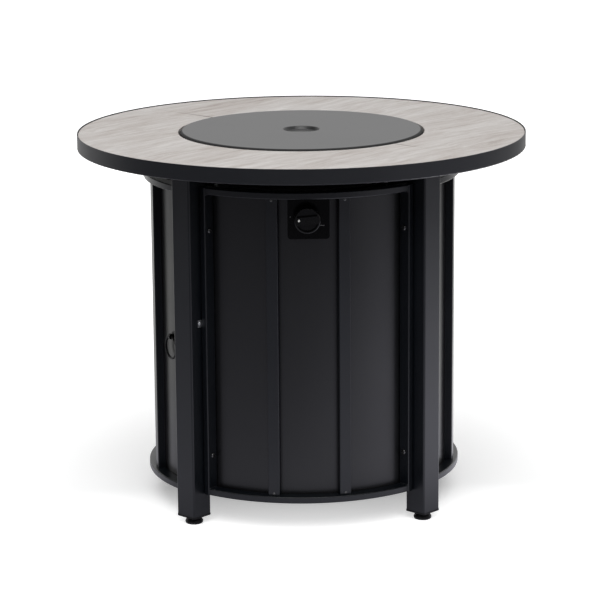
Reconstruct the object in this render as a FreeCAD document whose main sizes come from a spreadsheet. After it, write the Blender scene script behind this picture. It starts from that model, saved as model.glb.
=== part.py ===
import FreeCAD, Part
import math
import os
import types
import Sketcher

# Round gas fire pit table: a wood-look top on four square legs, with a barrel of
# framed, slatted side panels round the gas tank. The left panel is the tank door.
# Z is up, the origin is on the floor under the middle, the control knob faces -Y.
# A leg or panel is drawn with X pointing out from the middle, then turned into place.

SIZES = {
    # legs, caps and feet
    "leg_azimuth": 45.0,
    "leg_radius": 272.15,
    "leg_width": 40.0,
    "leg_wall": 1.5,
    "leg_round": 3.0,
    "leg_plate_length": 80.0,
    "leg_plate_thickness": 3.0,
    "cap_height": 13.0,
    "cap_lip": 3.0,
    "cap_proud": 0.4,
    "cap_plug_depth": 22.0,
    "cap_fit": 0.15,
    "foot_radius": 15.0,
    "foot_pad_height": 4.0,
    "foot_ring_radius": 12.5,
    "foot_neck_radius": 9.0,
    "foot_stem_radius": 4.0,
    "foot_stem_length": 24.0,
    "foot_thread_fit": 0.05,
    "foot_top_gap": 0.3,
    "foot_taper": 1.0,
    # side panels
    "panel_inset": 2.65,
    "panel_base": 52.8,
    "panel_drop": 23.0,
    "door_sag": 5.0,
    "rail_width": 11.0,
    "rail_depth": 20.0,
    "rail_wall": 1.0,
    "rail_round": 1.5,
    "stile_gap": 1.5,
    "stile_seat": 0.1,
    "sheet_thickness": 1.0,
    "sheet_lap": 8.0,
    "sheet_side_gap": 2.0,
    "slat_azimuth": 13.1,
    "slat_width": 19.5,
    "slat_depth": 13.0,
    "slat_wall": 1.0,
    "slat_round": 1.5,
    # screws and rivets
    "screw_low_inset": 56.2,
    "screw_high_inset": 61.3,
    "screw_inset": 11.0,
    "screw_radius": 2.0,
    "screw_head_radius": 4.5,
    "screw_head_height": 2.6,
    "screw_head_round": 1.8,
    "screw_fit": 0.2,
    "screw_reach": 4.0,
    "rivet_inset": 3.0,
    "rivet_radius": 1.2,
    "rivet_head_radius": 2.3,
    "rivet_head_height": 1.0,
    "rivet_head_round": 0.8,
    "rivet_reach": 4.0,
    "rivet_fit": 0.1,
    "bolt_radius": 3.0,
    "bolt_fit": 0.3,
    "bolt_spread": 29.0,
    "bolt_flats": 10.0,
    "bolt_head_height": 4.0,
    "bolt_reach": 7.0,
    # table top
    "rim_radius": 381.0,
    "rim_rise": 1.5,
    "rim_height": 26.0,
    "rim_wall": 1.5,
    "rim_hem": 9.0,
    "rim_round": 2.0,
    "rim_lip_round": 0.6,
    "deck_top": 622.5,
    "deck_thickness": 1.5,
    "deck_lip": 10.0,
    "deck_opening": 176.0,
    "ring_width": 20.0,
    "ring_height": 20.0,
    "ring_wall": 1.5,
    "board_thickness": 10.0,
    "board_opening": 209.5,
    "board_seam": 1.0,
    "board_rim_gap": 0.5,
    "board_chamfer": 0.6,
    # lid
    "lid_radius": 206.0,
    "lid_thickness": 1.2,
    "lid_rise": 2.5,
    "lid_round": 4.5,
    "lid_seat_gap": 0.2,
    "cup_radius": 31.5,
    "cup_depth": 6.0,
    "cup_slope": 3.0,
    "cup_round": 1.6,
    # burner
    "pan_thickness": 1.2,
    "pan_flange_radius": 207.5,
    "pan_mouth_radius": 172.0,
    "pan_floor_radius": 160.0,
    "pan_depth": 66.0,
    "pan_floor_round": 8.0,
    "pan_mouth_round": 3.0,
    "burner_radius": 110.0,
    "burner_tube_radius": 7.0,
    "burner_tube_wall": 1.0,
    "burner_bar_radius": 5.5,
    "burner_rise": 18.0,
    "burner_hub_radius": 13.0,
    "burner_ports": 20.0,
    "burner_port_radius": 1.5,
    "mixer_radius": 9.0,
    "mixer_wall": 1.2,
    "mixer_fit": 0.1,
    "mixer_drop": 21.7,
    "mixer_reach": 8.0,
    "mixer_collar_radius": 17.0,
    "mixer_collar_height": 4.0,
    "air_hole_radius": 2.5,
    "injector_flats": 18.0,
    "injector_height": 10.0,
    "injector_nose_radius": 6.0,
    "injector_nose": 5.0,
    "injector_bore_radius": 1.0,
    "injector_socket": 5.0,
    "shield_radius": 150.0,
    "shield_drop": 11.0,
    "shield_hole_radius": 24.0,
    "shield_lip": 6.0,
    "shield_stud_radius": 5.0,
    "shield_stud_circle": 120.0,
    "flame_azimuth": -70.0,
    "flame_distance": 126.0,
    "flame_bracket_width": 36.0,
    "flame_bracket_depth": 22.0,
    "flame_bracket_height": 26.0,
    "electrode_radius": 3.5,
    "electrode_tip_radius": 1.0,
    "electrode_height": 26.0,
    "electrode_tip": 8.0,
    "probe_radius": 2.2,
    "probe_height": 30.0,
    "probe_spread": 9.0,
    # gas valve, knob and control plate
    "knob_offset": -2.0,
    "valve_drop": 32.5,
    "valve_radius": 16.0,
    "valve_length": 47.8,
    "valve_seat_gap": 0.7,
    "neck_radius": 8.0,
    "neck_reach": 4.0,
    "neck_fit": 0.2,
    "valve_bore_radius": 5.4,
    "valve_bore_depth": 20.0,
    "neck_lip": 2.0,
    "collar_radius": 4.6,
    "stem_tail": 8.0,
    "knob_travel": 4.5,
    "outlet_radius": 6.5,
    "outlet_length": 12.0,
    "inlet_setback": 16.0,
    "inlet_radius": 7.5,
    "inlet_length": 12.0,
    "inlet_bore_radius": 3.5,
    "nut_flats": 24.0,
    "nut_thickness": 3.5,
    "plate_offset": 1.0,
    "plate_width": 68.0,
    "plate_depth": 4.5,
    "plate_drop": 35.2,
    "plate_top_gap": 0.5,
    "plate_round": 5.0,
    "knob_radius": 21.2,
    "knob_gap": 6.0,
    "knob_length": 22.0,
    "knob_edge_round": 2.0,
    "knob_cavity_radius": 17.0,
    "knob_cavity_depth": 9.0,
    "knob_boss_radius": 6.5,
    "knob_boss_recess": 3.5,
    "knob_rim": 3.0,
    "grip_width": 13.0,
    "grip_recess": 7.0,
    "grip_azimuth": 5.0,
    "stem_radius": 3.0,
    "stem_fit": 0.05,
    "stem_recess": 7.0,
    "washer_radius": 5.2,
    "washer_thickness": 1.2,
    "washer_gap": 0.1,
    "spring_length": 13.5,
    "spring_radius": 4.4,
    "spring_wire_radius": 0.5,
    "pipe_radius": 4.0,
    "pipe_wall": 0.8,
    "pipe_drop": 18.5,
    "pipe_bend": 30.0,
    "pipe_elbow": 9.0,
    "pipe_fit": 0.1,
    "pipe_run": 40.0,
    "pipe_fall": 40.0,
    # tank shelf
    "shelf_top": 52.0,
    "shelf_thickness": 1.5,
    "shelf_leg_gap": 44.15,
    "shelf_lip": 9.0,
    "shelf_dish_radius": 106.0,
    "shelf_dish_depth": 12.0,
    "shelf_dish_slope": 4.0,
    "shelf_round": 2.0,
    "shelf_hole_radius": 60.0,
    "shelf_tab_width": 32.0,
    "shelf_tab_height": 24.0,
    # door hardware
    "hinge_inset": 76.0,
    "hinge_height": 42.0,
    "hinge_thickness": 1.5,
    "hinge_leaf_width": 13.0,
    "barrel_radius": 4.0,
    "barrel_leg_gap": 0.5,
    "barrel_fit": 0.3,
    "pin_radius": 2.0,
    "pin_fit": 0.05,
    "pin_head_radius": 3.4,
    "pin_head_height": 1.5,
    "knuckle_height": 9.0,
    "hinge_screw_spread": 13.0,
    "catch_height": 346.7,
    "catch_bolt_inset": 1.25,
    "catch_bolt_radius": 1.6,
    "catch_plate_width": 10.3,
    "catch_plate_height": 12.2,
    "catch_plate_thickness": 1.0,
    "catch_strap_thickness": 1.0,
    "catch_strap_height": 16.0,
    "catch_strap_end": 7.0,
    "catch_head_radius": 2.8,
    "catch_head_height": 1.2,
    "catch_box_width": 14.0,
    "catch_box_depth": 9.0,
    "catch_box_height": 34.0,
    "catch_gap": 0.3,
    "strike_thickness": 1.2,
    "strike_fit": 0.2,
    "pull_azimuth": 27.6,
    "pull_height": 304.0,
    "pull_ring_radius": 18.6,
    "pull_wire_radius": 2.0,
    "pull_plate_radius": 8.0,
    "pull_plate_thickness": 1.5,
    "pull_eye_reach": 6.5,
    "pull_lug_height": 7.4,
    "pull_eye_radius": 4.6,
    "pull_eye_width": 5.0,
    "pull_eye_fit": 0.4,
}

V = FreeCAD.Vector
UP = V(0, 0, 1)
PLANES = {"flat": "XY_Plane", "along": "XZ_Plane", "across": "YZ_Plane"}
SIDES = {"front": -90.0, "right": 0.0, "rear": 90.0, "left": 180.0}
CORNERS = {"front_left": -135.0, "front_right": -45.0, "rear_right": 45.0, "rear_left": 135.0}
BEYOND = 5.0
WELL_BEYOND = 20.0

doc = FreeCAD.newDocument("fire_pit_table")
sub_parts = []


class Size:
    """A size of the sheet, or a sum of such sizes: its formula and its value."""

    def __init__(self, text, value):
        self.text = text
        self.value = value

    def __add__(self, other):
        return combined(self, "+", other)

    def __radd__(self, other):
        return combined(other, "+", self)

    def __sub__(self, other):
        return combined(self, "-", other)

    def __rsub__(self, other):
        return combined(other, "-", self)

    def __mul__(self, other):
        return combined(self, "*", other)

    def __rmul__(self, other):
        return combined(other, "*", self)

    def __truediv__(self, other):
        return combined(self, "/", other)

    def __neg__(self):
        return combined(0, "-", self)


def size(number):
    """The number as a Size; a Size stays as it is."""
    if isinstance(number, Size):
        return number
    return Size(repr(float(number)), float(number))


def combined(left, sign, right):
    """Two sizes joined by one arithmetic sign."""
    a, b = size(left), size(right)
    value = {
        "+": a.value + b.value,
        "-": a.value - b.value,
        "*": a.value * b.value,
        "/": a.value / b.value if b.value else 0.0,
    }[sign]
    return Size(f"({a.text} {sign} {b.text})", value)


def root(number):
    return Size(f"sqrt({number.text})", math.sqrt(number.value))


def sine(angle):
    angle = size(angle)
    return Size(f"sin({angle.text} * 1 deg)", math.sin(math.radians(angle.value)))


def cosine(angle):
    angle = size(angle)
    return Size(f"cos({angle.text} * 1 deg)", math.cos(math.radians(angle.value)))


def arcsine(ratio):
    return Size(f"(asin({ratio.text}) / 1 deg)", math.degrees(math.asin(ratio.value)))


def size_sheet():
    """The spreadsheet of driving sizes, and the same sizes by name for the formulas."""
    sheet = doc.addObject("Spreadsheet::Sheet", "Sizes")
    for row, (alias, number) in enumerate(SIZES.items(), start=1):
        sheet.set(f"A{row}", alias)
        sheet.set(f"B{row}", str(number))
        sheet.setAlias(f"B{row}", alias)
    doc.recompute()
    return types.SimpleNamespace(**{alias: Size(f"Sizes.{alias}", number) for alias, number in SIZES.items()})


S = size_sheet()


def polar_place(turn, out, aside):
    """X and Y of a point that far out and aside along a direction turned about Z."""
    return out * cosine(turn) - aside * sine(turn), out * sine(turn) + aside * cosine(turn)


def new_body(label, azimuth=None, out=None, aside=None, up=None):
    """A body for one sub-part, turned about Z and moved out, aside and up."""
    body = doc.addObject("PartDesign::Body", label)
    body.Label = label
    body.AllowCompound = True
    turn, z = size(azimuth or 0), size(up or 0)
    x, y = polar_place(turn, size(out or 0), size(aside or 0))
    body.Placement = FreeCAD.Placement(V(x.value, y.value, z.value), FreeCAD.Rotation(UP, turn.value))
    body.setExpression("Placement.Base.x", x.text)
    body.setExpression("Placement.Base.y", y.text)
    body.setExpression("Placement.Base.z", z.text)
    if turn.value:
        body.setExpression("Placement.Rotation.Angle", turn.text)
    sub_parts.append(body)
    return body


def new_sketch(body, plane, name, azimuth=None, up=None, out=None, aside=None):
    """A sketch on one of the body's origin planes, turned about Z and moved out, aside and up."""
    sketch = body.newObject("Sketcher::SketchObject", name)
    face = next(item for item in body.Origin.OriginFeatures if item.Role == PLANES[plane])
    sketch.AttachmentSupport = [(face, "")]
    sketch.MapMode = "FlatFace"
    turn, up = size(azimuth or 0), size(up or 0)
    x, y = polar_place(turn, size(out or 0), size(aside or 0))
    hinge = UP if plane == "flat" else V(0, 1, 0)
    moves = {"flat": (x, y, up), "along": (x, up, -y), "across": (y, up, x)}[plane]
    base = V(*[move.value for move in moves])
    sketch.AttachmentOffset = FreeCAD.Placement(base, FreeCAD.Rotation(hinge, turn.value))
    for axis, move in zip("xyz", moves):
        sketch.setExpression(f"AttachmentOffset.Base.{axis}", move.text)
    if turn.value:
        sketch.setExpression("AttachmentOffset.Rotation.Angle", turn.text)
    return sketch


def hold(sketch, rules):
    """Adds the constraints; those with a Size as last value follow its formula."""
    numbers = [rule[:-1] + (rule[-1].value,) if isinstance(rule[-1], Size) else rule for rule in rules]
    indices = sketch.addConstraint([Sketcher.Constraint(*rule) for rule in numbers])
    for index, rule in zip(indices, rules):
        if isinstance(rule[-1], Size):
            sketch.setExpression(f"Constraints[{index}]", rule[-1].text)


def place(curve, end, x, y):
    """The two rules that hold a curve's end point at x, y from the sketch's origin."""
    return [("DistanceX", -1, 1, curve, end, size(x)), ("DistanceY", -1, 1, curve, end, size(y))]


def outline(sketch, corners, closed=True):
    """Straight runs through the corners. A corner's third value rounds it to that radius."""
    count = len(corners)
    points = [V(size(corner[0]).value, size(corner[1]).value, 0) for corner in corners]
    run_start, run_end, arcs = list(points), list(points), {}
    for i, corner in enumerate(corners):
        if len(corner) < 3:
            continue
        back = (points[i - 1] - points[i]).normalize()
        ahead = (points[(i + 1) % count] - points[i]).normalize()
        half = back.getAngle(ahead) / 2
        radius = size(corner[2]).value
        run_end[i] = points[i] + back * (radius / math.tan(half))
        run_start[i] = points[i] + ahead * (radius / math.tan(half))
        centre = points[i] + (back + ahead).normalize() * (radius / math.sin(half))
        left_turn = ahead.cross(back).z > 0
        first, last = (run_end[i], run_start[i]) if left_turn else (run_start[i], run_end[i])
        angles = [math.atan2(point.y - centre.y, point.x - centre.x) for point in (first, last)]
        arcs[i] = (Part.ArcOfCircle(Part.Circle(centre, UP, radius), *angles), left_turn)
    runs = count if closed else count - 1
    lines = [Part.LineSegment(run_start[i], run_end[(i + 1) % count]) for i in range(runs)]
    line = sketch.addGeometry(lines, False)
    rules = []
    for i, corner in enumerate(corners):
        before, after = line[i - 1], line[i % runs]
        if i in arcs:
            arc = sketch.addGeometry(arcs[i][0], False)
            knot = sketch.addGeometry(Part.Point(points[i]), True)
            entry, leave = (1, 2) if arcs[i][1] else (2, 1)
            rules += [("Tangent", before, 2, arc, entry), ("Tangent", after, 1, arc, leave)]
            rules += [("PointOnObject", knot, 1, before), ("PointOnObject", knot, 1, after)]
            rules += place(knot, 1, corner[0], corner[1])
            rules += [("Radius", arc, size(corner[2]))]
        elif closed or i < count - 1:
            rules += place(after, 1, corner[0], corner[1])
            if closed or i > 0:
                rules += [("Coincident", before, 2, after, 1)]
        else:
            rules += place(before, 2, corner[0], corner[1])
    hold(sketch, rules)


def box_outline(sketch, x0, x1, y0, y1, radius=None):
    """A rectangle, its corners rounded where a radius is given."""
    rounding = () if radius is None else (radius,)
    outline(sketch, [(x0, y0) + rounding, (x1, y0) + rounding, (x1, y1) + rounding, (x0, y1) + rounding])


def circle(sketch, x, y, radius):
    x, y, radius = size(x), size(y), size(radius)
    curve = sketch.addGeometry(Part.Circle(V(x.value, y.value, 0), UP, radius.value), False)
    hold(sketch, place(curve, 3, x, y) + [("Radius", curve, radius)])


def hexagon(sketch, x, y, flats):
    """A hexagon of the given width across its flats."""
    tip = size(flats) / root(size(3))
    turns = range(0, 360, 60)
    outline(sketch, [(x + tip * cosine(turn), y + tip * sine(turn)) for turn in turns])


def feature(body, kind, name, sketch, amount, both=False, reverse=False):
    """A pad, pocket, revolution or groove of the sketch by a bound length or angle."""
    item = body.newObject(f"PartDesign::{kind}", name)
    item.Profile = sketch
    item.Midplane = both
    item.Reversed = reverse
    if kind in ("Pad", "Pocket"):
        item.Length = size(amount).value
        item.setExpression("Length", size(amount).text)
    else:
        item.Angle = size(amount).value
        item.setExpression("Angle", size(amount).text)
    return item


def turned(body, name, sketch, kind="Revolution", axis="V_Axis", angle=360):
    """A revolution of the sketch about one of its own axes."""
    item = feature(body, kind, name, sketch, angle, both=size(angle).value < 360)
    item.ReferenceAxis = (sketch, [axis])
    return item


def origin_item(body, role):
    return next(item for item in body.Origin.OriginFeatures if item.Role == role)


def mirrored(body, features, name, plane="XZ_Plane"):
    item = body.newObject("PartDesign::Mirrored", name)
    item.Originals = features
    item.MirrorPlane = (origin_item(body, plane), [""])
    body.Tip = item
    return item


def around(body, features, name, count, span=360):
    """The features repeated about Z: count copies spread over the span."""
    item = body.newObject("PartDesign::PolarPattern", name)
    item.Originals = features
    item.Axis = (origin_item(body, "Z_Axis"), [""])
    item.Angle = span
    item.Occurrences = int(size(count).value)
    body.Tip = item
    return item


def many(body, features, name, spread=None, mirror=None, turns=None):
    """The features repeated up by a spread, then mirrored, then turned about Z."""
    item = body.newObject("PartDesign::MultiTransform", name)
    steps = []
    if spread is not None:
        step = body.newObject("PartDesign::LinearPattern", f"{name}_up")
        step.Direction = (origin_item(body, "Z_Axis"), [""])
        step.Length = size(spread).value
        step.setExpression("Length", size(spread).text)
        step.Occurrences = 2
        steps.append(step)
    if mirror is not None:
        step = body.newObject("PartDesign::Mirrored", f"{name}_mirror")
        step.MirrorPlane = (origin_item(body, mirror), [""])
        steps.append(step)
    if turns is not None:
        step = body.newObject("PartDesign::PolarPattern", f"{name}_round")
        step.Axis = (origin_item(body, "Z_Axis"), [""])
        step.Angle = turns[1]
        step.Occurrences = turns[0]
        steps.append(step)
    item.Originals = features
    item.Transformations = steps
    body.Tip = item
    return item


# Places that several pieces share, out from the middle
leg_half = S.leg_width / 2
leg_inner = S.leg_radius - leg_half
leg_outer = S.leg_radius + leg_half
panel_radius = S.leg_radius - S.panel_inset
frame_inner = panel_radius - S.rail_depth
stile_near = leg_half + S.stile_gap
stile_far = stile_near + S.rail_width
stile_inner = root(frame_inner * frame_inner - stile_near * stile_near) + S.stile_seat
stile_outer = stile_inner + S.rail_depth
screw_out = stile_outer - S.screw_inset
slat_face = frame_inner + S.slat_depth
plate_front = frame_inner + S.plate_depth
neck_front = plate_front + S.neck_reach
valve_shoulder = frame_inner - S.sheet_thickness - S.valve_seat_gap
valve_rear = valve_shoulder - S.valve_length
inlet_distance = valve_rear + S.inlet_setback
knob_back = plate_front + S.knob_gap
knob_front = knob_back + S.knob_length
knob_boss_back = knob_back + S.knob_boss_recess
stem_front = knob_front - S.stem_recess
pin_out = stile_outer + S.barrel_radius + S.barrel_fit
pin_aside = leg_half + S.barrel_radius + S.barrel_leg_gap
catch_bolt_distance = S.leg_radius - S.catch_bolt_inset
pull_eye_distance = frame_inner + S.pull_eye_reach
shelf_edge = leg_inner - S.shelf_leg_gap

# Heights that several pieces share, from the deck down to the legs' feet
board_top = S.deck_top + S.board_thickness
rim_top = board_top + S.rim_rise
rim_bottom = rim_top - S.rim_height
flange_top = S.deck_top + S.pan_thickness
pan_floor = flange_top - S.pan_depth
burner_level = pan_floor + S.burner_rise
mixer_base = pan_floor - S.mixer_drop
plate_top = S.deck_top - S.deck_thickness - S.ring_height
leg_top = plate_top - S.leg_plate_thickness
panel_top = leg_top - S.panel_drop
window_top = panel_top - S.rail_width
window_base = S.panel_base + S.rail_width
screw_low = window_base + S.screw_low_inset
screw_high = window_top - S.screw_high_inset
hinge_low = window_base + S.hinge_inset
hinge_high = window_top - S.hinge_inset
valve_height = window_top - S.valve_drop
plate_bottom = valve_height - S.plate_drop
pipe_level = valve_height - S.pipe_drop
tab_middle = S.shelf_top - S.shelf_tab_height / 2
leg_base = S.cap_height + S.cap_lip


def make_leg(name, azimuth, screw_sides):
    """A square tube leg with a bolt plate on top and its screw holes."""
    body = new_body(f"leg_{name}", azimuth)
    section = new_sketch(body, "flat", "tube_section", up=leg_base)
    box_outline(section, leg_inner, leg_outer, -leg_half, leg_half, S.leg_round)
    box_outline(
        section, leg_inner + S.leg_wall, leg_outer - S.leg_wall,
        S.leg_wall - leg_half, leg_half - S.leg_wall, S.leg_round - S.leg_wall)
    feature(body, "Pad", "tube", section, leg_top - leg_base)
    plate = new_sketch(body, "flat", "plate_outline", up=leg_top)
    box_outline(plate, leg_inner, leg_outer, -S.leg_plate_length / 2, S.leg_plate_length / 2, S.leg_round)
    for side in (-1, 1):
        circle(plate, S.leg_radius, side * S.bolt_spread, S.bolt_radius + S.bolt_fit)
    feature(body, "Pad", "bolt_plate", plate, S.leg_plate_thickness)
    for side in screw_sides:
        holes = new_sketch(body, "along", f"screw_holes_{'plus' if side > 0 else 'minus'}")
        for height in (screw_low, screw_high):
            circle(holes, screw_out, height, S.screw_radius + S.screw_fit)
        feature(body, "Pocket", f"{holes.Name}_cut", holes, leg_half + BEYOND, reverse=side < 0)
    tab_hole = new_sketch(body, "across", "shelf_screw_hole", out=S.leg_radius)
    circle(tab_hole, 0, tab_middle, S.screw_radius + S.screw_fit)
    feature(body, "Pocket", "shelf_screw_cut", tab_hole, leg_half + BEYOND)
    if name == "rear_left":
        holes = new_sketch(body, "along", "hinge_screw_holes")
        for height in hinge_screw_heights():
            circle(holes, hinge_screw_out(), height, S.screw_radius + S.screw_fit)
        feature(body, "Pocket", "hinge_screw_cut", holes, leg_half + BEYOND)
    if name == "front_left":
        hole = new_sketch(body, "along", "catch_bolt_hole")
        circle(hole, catch_bolt_distance, S.catch_height, S.catch_bolt_radius + S.screw_fit)
        feature(body, "Pocket", "catch_bolt_cut", hole, S.leg_width + BEYOND, both=True)


def hinge_screw_out():
    """The leaf's screws lie in the middle of what shows beside the barrel."""
    return leg_outer - S.leg_round - (S.hinge_leaf_width - S.barrel_radius / 2) / 2


def hinge_screw_heights():
    middles = (hinge_low, hinge_high)
    return [middle + side * S.hinge_screw_spread for middle in middles for side in (-1, 1)]


def make_leg_end_caps():
    """Plugs in the legs' lower ends, each with a threaded bore for its foot."""
    body = new_body("leg_end_caps")
    lip_half = leg_half + S.cap_proud
    lip = new_sketch(body, "flat", "lip_outline", S.leg_azimuth, S.cap_height)
    box_outline(lip, S.leg_radius - lip_half, S.leg_radius + lip_half, -lip_half, lip_half, S.leg_round)
    lip_pad = feature(body, "Pad", "lip", lip, S.cap_lip)
    plug_half = leg_half - S.leg_wall - S.cap_fit
    plug = new_sketch(body, "flat", "plug_outline", S.leg_azimuth, leg_base)
    box_outline(plug, S.leg_radius - plug_half, S.leg_radius + plug_half, -plug_half, plug_half, S.leg_round)
    plug_pad = feature(body, "Pad", "plug", plug, S.cap_plug_depth)
    bore = new_sketch(body, "flat", "bore_circle", S.leg_azimuth, S.cap_height)
    circle(bore, S.leg_radius, 0, S.foot_stem_radius + S.foot_thread_fit)
    cut = feature(body, "Pocket", "bore", bore, S.cap_lip + S.cap_plug_depth + BEYOND, reverse=True)
    around(body, [lip_pad, plug_pad, cut], "four_caps", 4)


def make_foot(name, azimuth):
    """A levelling foot: a tapered pad with a ring step, on a threaded stem."""
    body = new_body(f"foot_{name}", azimuth, S.leg_radius)
    neck_top = S.cap_height - S.foot_top_gap
    ring_level = S.foot_pad_height + (neck_top - S.foot_pad_height) / 2
    profile = new_sketch(body, "along", "foot_profile")
    outline(profile, [
        (0, 0),
        (S.foot_radius - S.foot_taper, 0),
        (S.foot_radius, S.foot_pad_height / 2),
        (S.foot_radius, S.foot_pad_height),
        (S.foot_ring_radius, ring_level),
        (S.foot_neck_radius, ring_level),
        (S.foot_neck_radius, neck_top),
        (S.foot_stem_radius, neck_top),
        (S.foot_stem_radius, neck_top + S.foot_stem_length),
        (0, neck_top + S.foot_stem_length),
    ])
    turned(body, "foot", profile)


def make_panel_frame(side, azimuth, sag):
    """Two rolled square rails joined by two upright tubes along the legs."""
    body = new_body(f"{side}_panel_frame", azimuth)
    base, height = S.panel_base - sag, panel_top - S.panel_base
    rails = new_sketch(body, "along", "rail_sections")
    for level in (base, window_top - sag):
        box_outline(rails, frame_inner, panel_radius, level, level + S.rail_width, S.rail_round)
    turned(body, "rails", rails, angle=S.leg_azimuth * 2)
    ends = new_sketch(body, "flat", "rail_end_cut", S.leg_azimuth)
    box_outline(ends, leg_inner - WELL_BEYOND, leg_outer, S.rail_wall - stile_far, leg_half)
    cut = feature(body, "Pocket", "rail_ends", ends, panel_top + BEYOND, reverse=True)
    mirrored(body, [cut], "rail_ends_mirrored")
    stile = new_sketch(body, "flat", "stile_section", S.leg_azimuth, base)
    box_outline(stile, stile_inner, stile_outer, -stile_far, -stile_near, S.rail_round)
    upright = feature(body, "Pad", "stile", stile, height)
    mirrored(body, [upright], "stiles")
    stile_middle = arcsine((stile_near + S.rail_width / 2) / frame_inner)
    bores = new_sketch(body, "along", "rail_bores")
    for level in (base, window_top - sag):
        box_outline(
            bores, frame_inner + S.rail_wall, panel_radius - S.rail_wall,
            level + S.rail_wall, level + S.rail_width - S.rail_wall)
    turned(body, "rail_bore_cut", bores, kind="Groove", angle=(S.leg_azimuth - stile_middle) * 2)
    bore = new_sketch(body, "flat", "stile_bore", S.leg_azimuth, base)
    box_outline(
        bore, stile_inner + S.rail_wall, stile_outer - S.rail_wall,
        S.rail_wall - stile_far, -stile_near - S.rail_wall)
    hollow = feature(body, "Pocket", "stile_bore_cut", bore, height - S.rail_wall, reverse=True)
    mirrored(body, [hollow], "stile_bores")
    if side != "door":
        holes = new_sketch(body, "along", "screw_holes", S.leg_azimuth)
        for height in (screw_low, screw_high):
            circle(holes, screw_out, height, S.screw_radius + S.screw_fit)
        drilled = feature(body, "Pocket", "screw_hole_cut", holes, stile_far + BEYOND, reverse=True)
        mirrored(body, [drilled], "screw_hole_pair")


def make_panel_sheet(side, azimuth, sag):
    """The curved steel sheet that laps the inner faces of its frame."""
    body = new_body(f"{side}_panel_sheet", azimuth)
    section = new_sketch(body, "along", "sheet_section")
    box_outline(
        section, frame_inner - S.sheet_thickness, frame_inner,
        window_base - sag - S.sheet_lap, window_top - sag + S.sheet_lap)
    edge = arcsine((leg_half + S.sheet_side_gap) / frame_inner)
    turned(body, "sheet", section, angle=(S.leg_azimuth - edge) * 2)
    if side == "front":
        hole = new_sketch(body, "across", "valve_hole")
        circle(hole, S.knob_offset, valve_height, S.neck_radius + S.neck_fit)
        feature(body, "Pocket", "valve_hole_cut", hole, panel_radius, reverse=True)


def make_panel_slats(side, azimuth, sag):
    """Two folded channels, open at the back, that run from rail to rail."""
    body = new_body(f"{side}_panel_slats", azimuth)
    half = S.slat_width / 2
    section = new_sketch(body, "flat", "slat_section", S.slat_azimuth, window_base - sag)
    outline(section, [
        (frame_inner, -half),
        (slat_face, -half, S.slat_round),
        (slat_face, half, S.slat_round),
        (frame_inner, half),
        (frame_inner, half - S.slat_wall),
        (slat_face - S.slat_wall, half - S.slat_wall),
        (slat_face - S.slat_wall, S.slat_wall - half),
        (frame_inner, S.slat_wall - half),
    ])
    slat = feature(body, "Pad", "slat", section, window_top - window_base)
    holes = new_sketch(body, "across", "rivet_holes", S.slat_azimuth)
    for height in (window_base + S.rivet_inset, window_top - S.rivet_inset):
        circle(holes, 0, height - sag, S.rivet_radius + S.rivet_fit)
    cut = feature(body, "Pocket", "rivet_hole_cut", holes, panel_radius, reverse=True)
    mirrored(body, [slat, cut], "slat_pair")


def make_slat_rivets(label, azimuth, turns, sag):
    """Domed rivets near the ends of every slat."""
    body = new_body(label, azimuth)
    lowest = window_base - sag + S.rivet_inset
    profile = new_sketch(body, "along", "rivet_profile", S.slat_azimuth, lowest)
    dome = slat_face + S.rivet_head_height
    outline(profile, [
        (slat_face - S.rivet_reach, 0),
        (dome, 0),
        (dome, S.rivet_head_radius, S.rivet_head_round),
        (slat_face, S.rivet_head_radius),
        (slat_face, S.rivet_radius),
        (slat_face - S.rivet_reach, S.rivet_radius),
    ])
    rivet = turned(body, "rivet", profile, axis="H_Axis")
    rise = window_top - window_base - S.rivet_inset * 2
    many(body, [rivet], "rivets", spread=rise, mirror="XZ_Plane", turns=turns)


def screw_profile(sketch, tip, seat, facing=1):
    """Half a pan head screw along the sketch's X: its head stands on the seat."""
    head = seat + facing * S.screw_head_height
    outline(sketch, [
        (tip, 0),
        (head, 0),
        (head, S.screw_head_radius, S.screw_head_round),
        (seat, S.screw_head_radius),
        (seat, S.screw_radius),
        (tip, S.screw_radius),
    ])


def make_frame_screws():
    """All the screws into the legs: through panel uprights, shelf tabs and hinge leaves."""
    body = new_body("frame_screws")
    profile = new_sketch(
        body, "across", "panel_screw_profile", CORNERS["front_left"], screw_low, screw_out)
    screw_profile(profile, leg_half - S.leg_wall - S.screw_reach, stile_far)
    screw = turned(body, "panel_screw", profile, axis="H_Axis")
    rise = screw_high - screw_low
    many(body, [screw], "panel_screws", spread=rise, mirror="YZ_Plane", turns=(3, 180))
    profile = new_sketch(body, "along", "shelf_screw_profile", S.leg_azimuth, tab_middle)
    tip = leg_inner + S.leg_wall + S.screw_reach
    screw_profile(profile, tip, leg_inner - S.shelf_thickness, facing=-1)
    screw = turned(body, "shelf_screw", profile, axis="H_Axis")
    around(body, [screw], "shelf_screws", 4)
    pair = []
    for number, level in enumerate(hinge_screw_heights()[:2]):
        profile = new_sketch(
            body, "across", f"hinge_screw_profile_{number}", CORNERS["rear_left"], level, hinge_screw_out())
        tip = leg_half - S.leg_wall - S.screw_reach
        screw_profile(profile, tip, leg_half + S.hinge_thickness)
        pair.append(turned(body, f"hinge_screw_{number}", profile, axis="H_Axis"))
    many(body, pair, "hinge_screws", spread=hinge_high - hinge_low)


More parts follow.
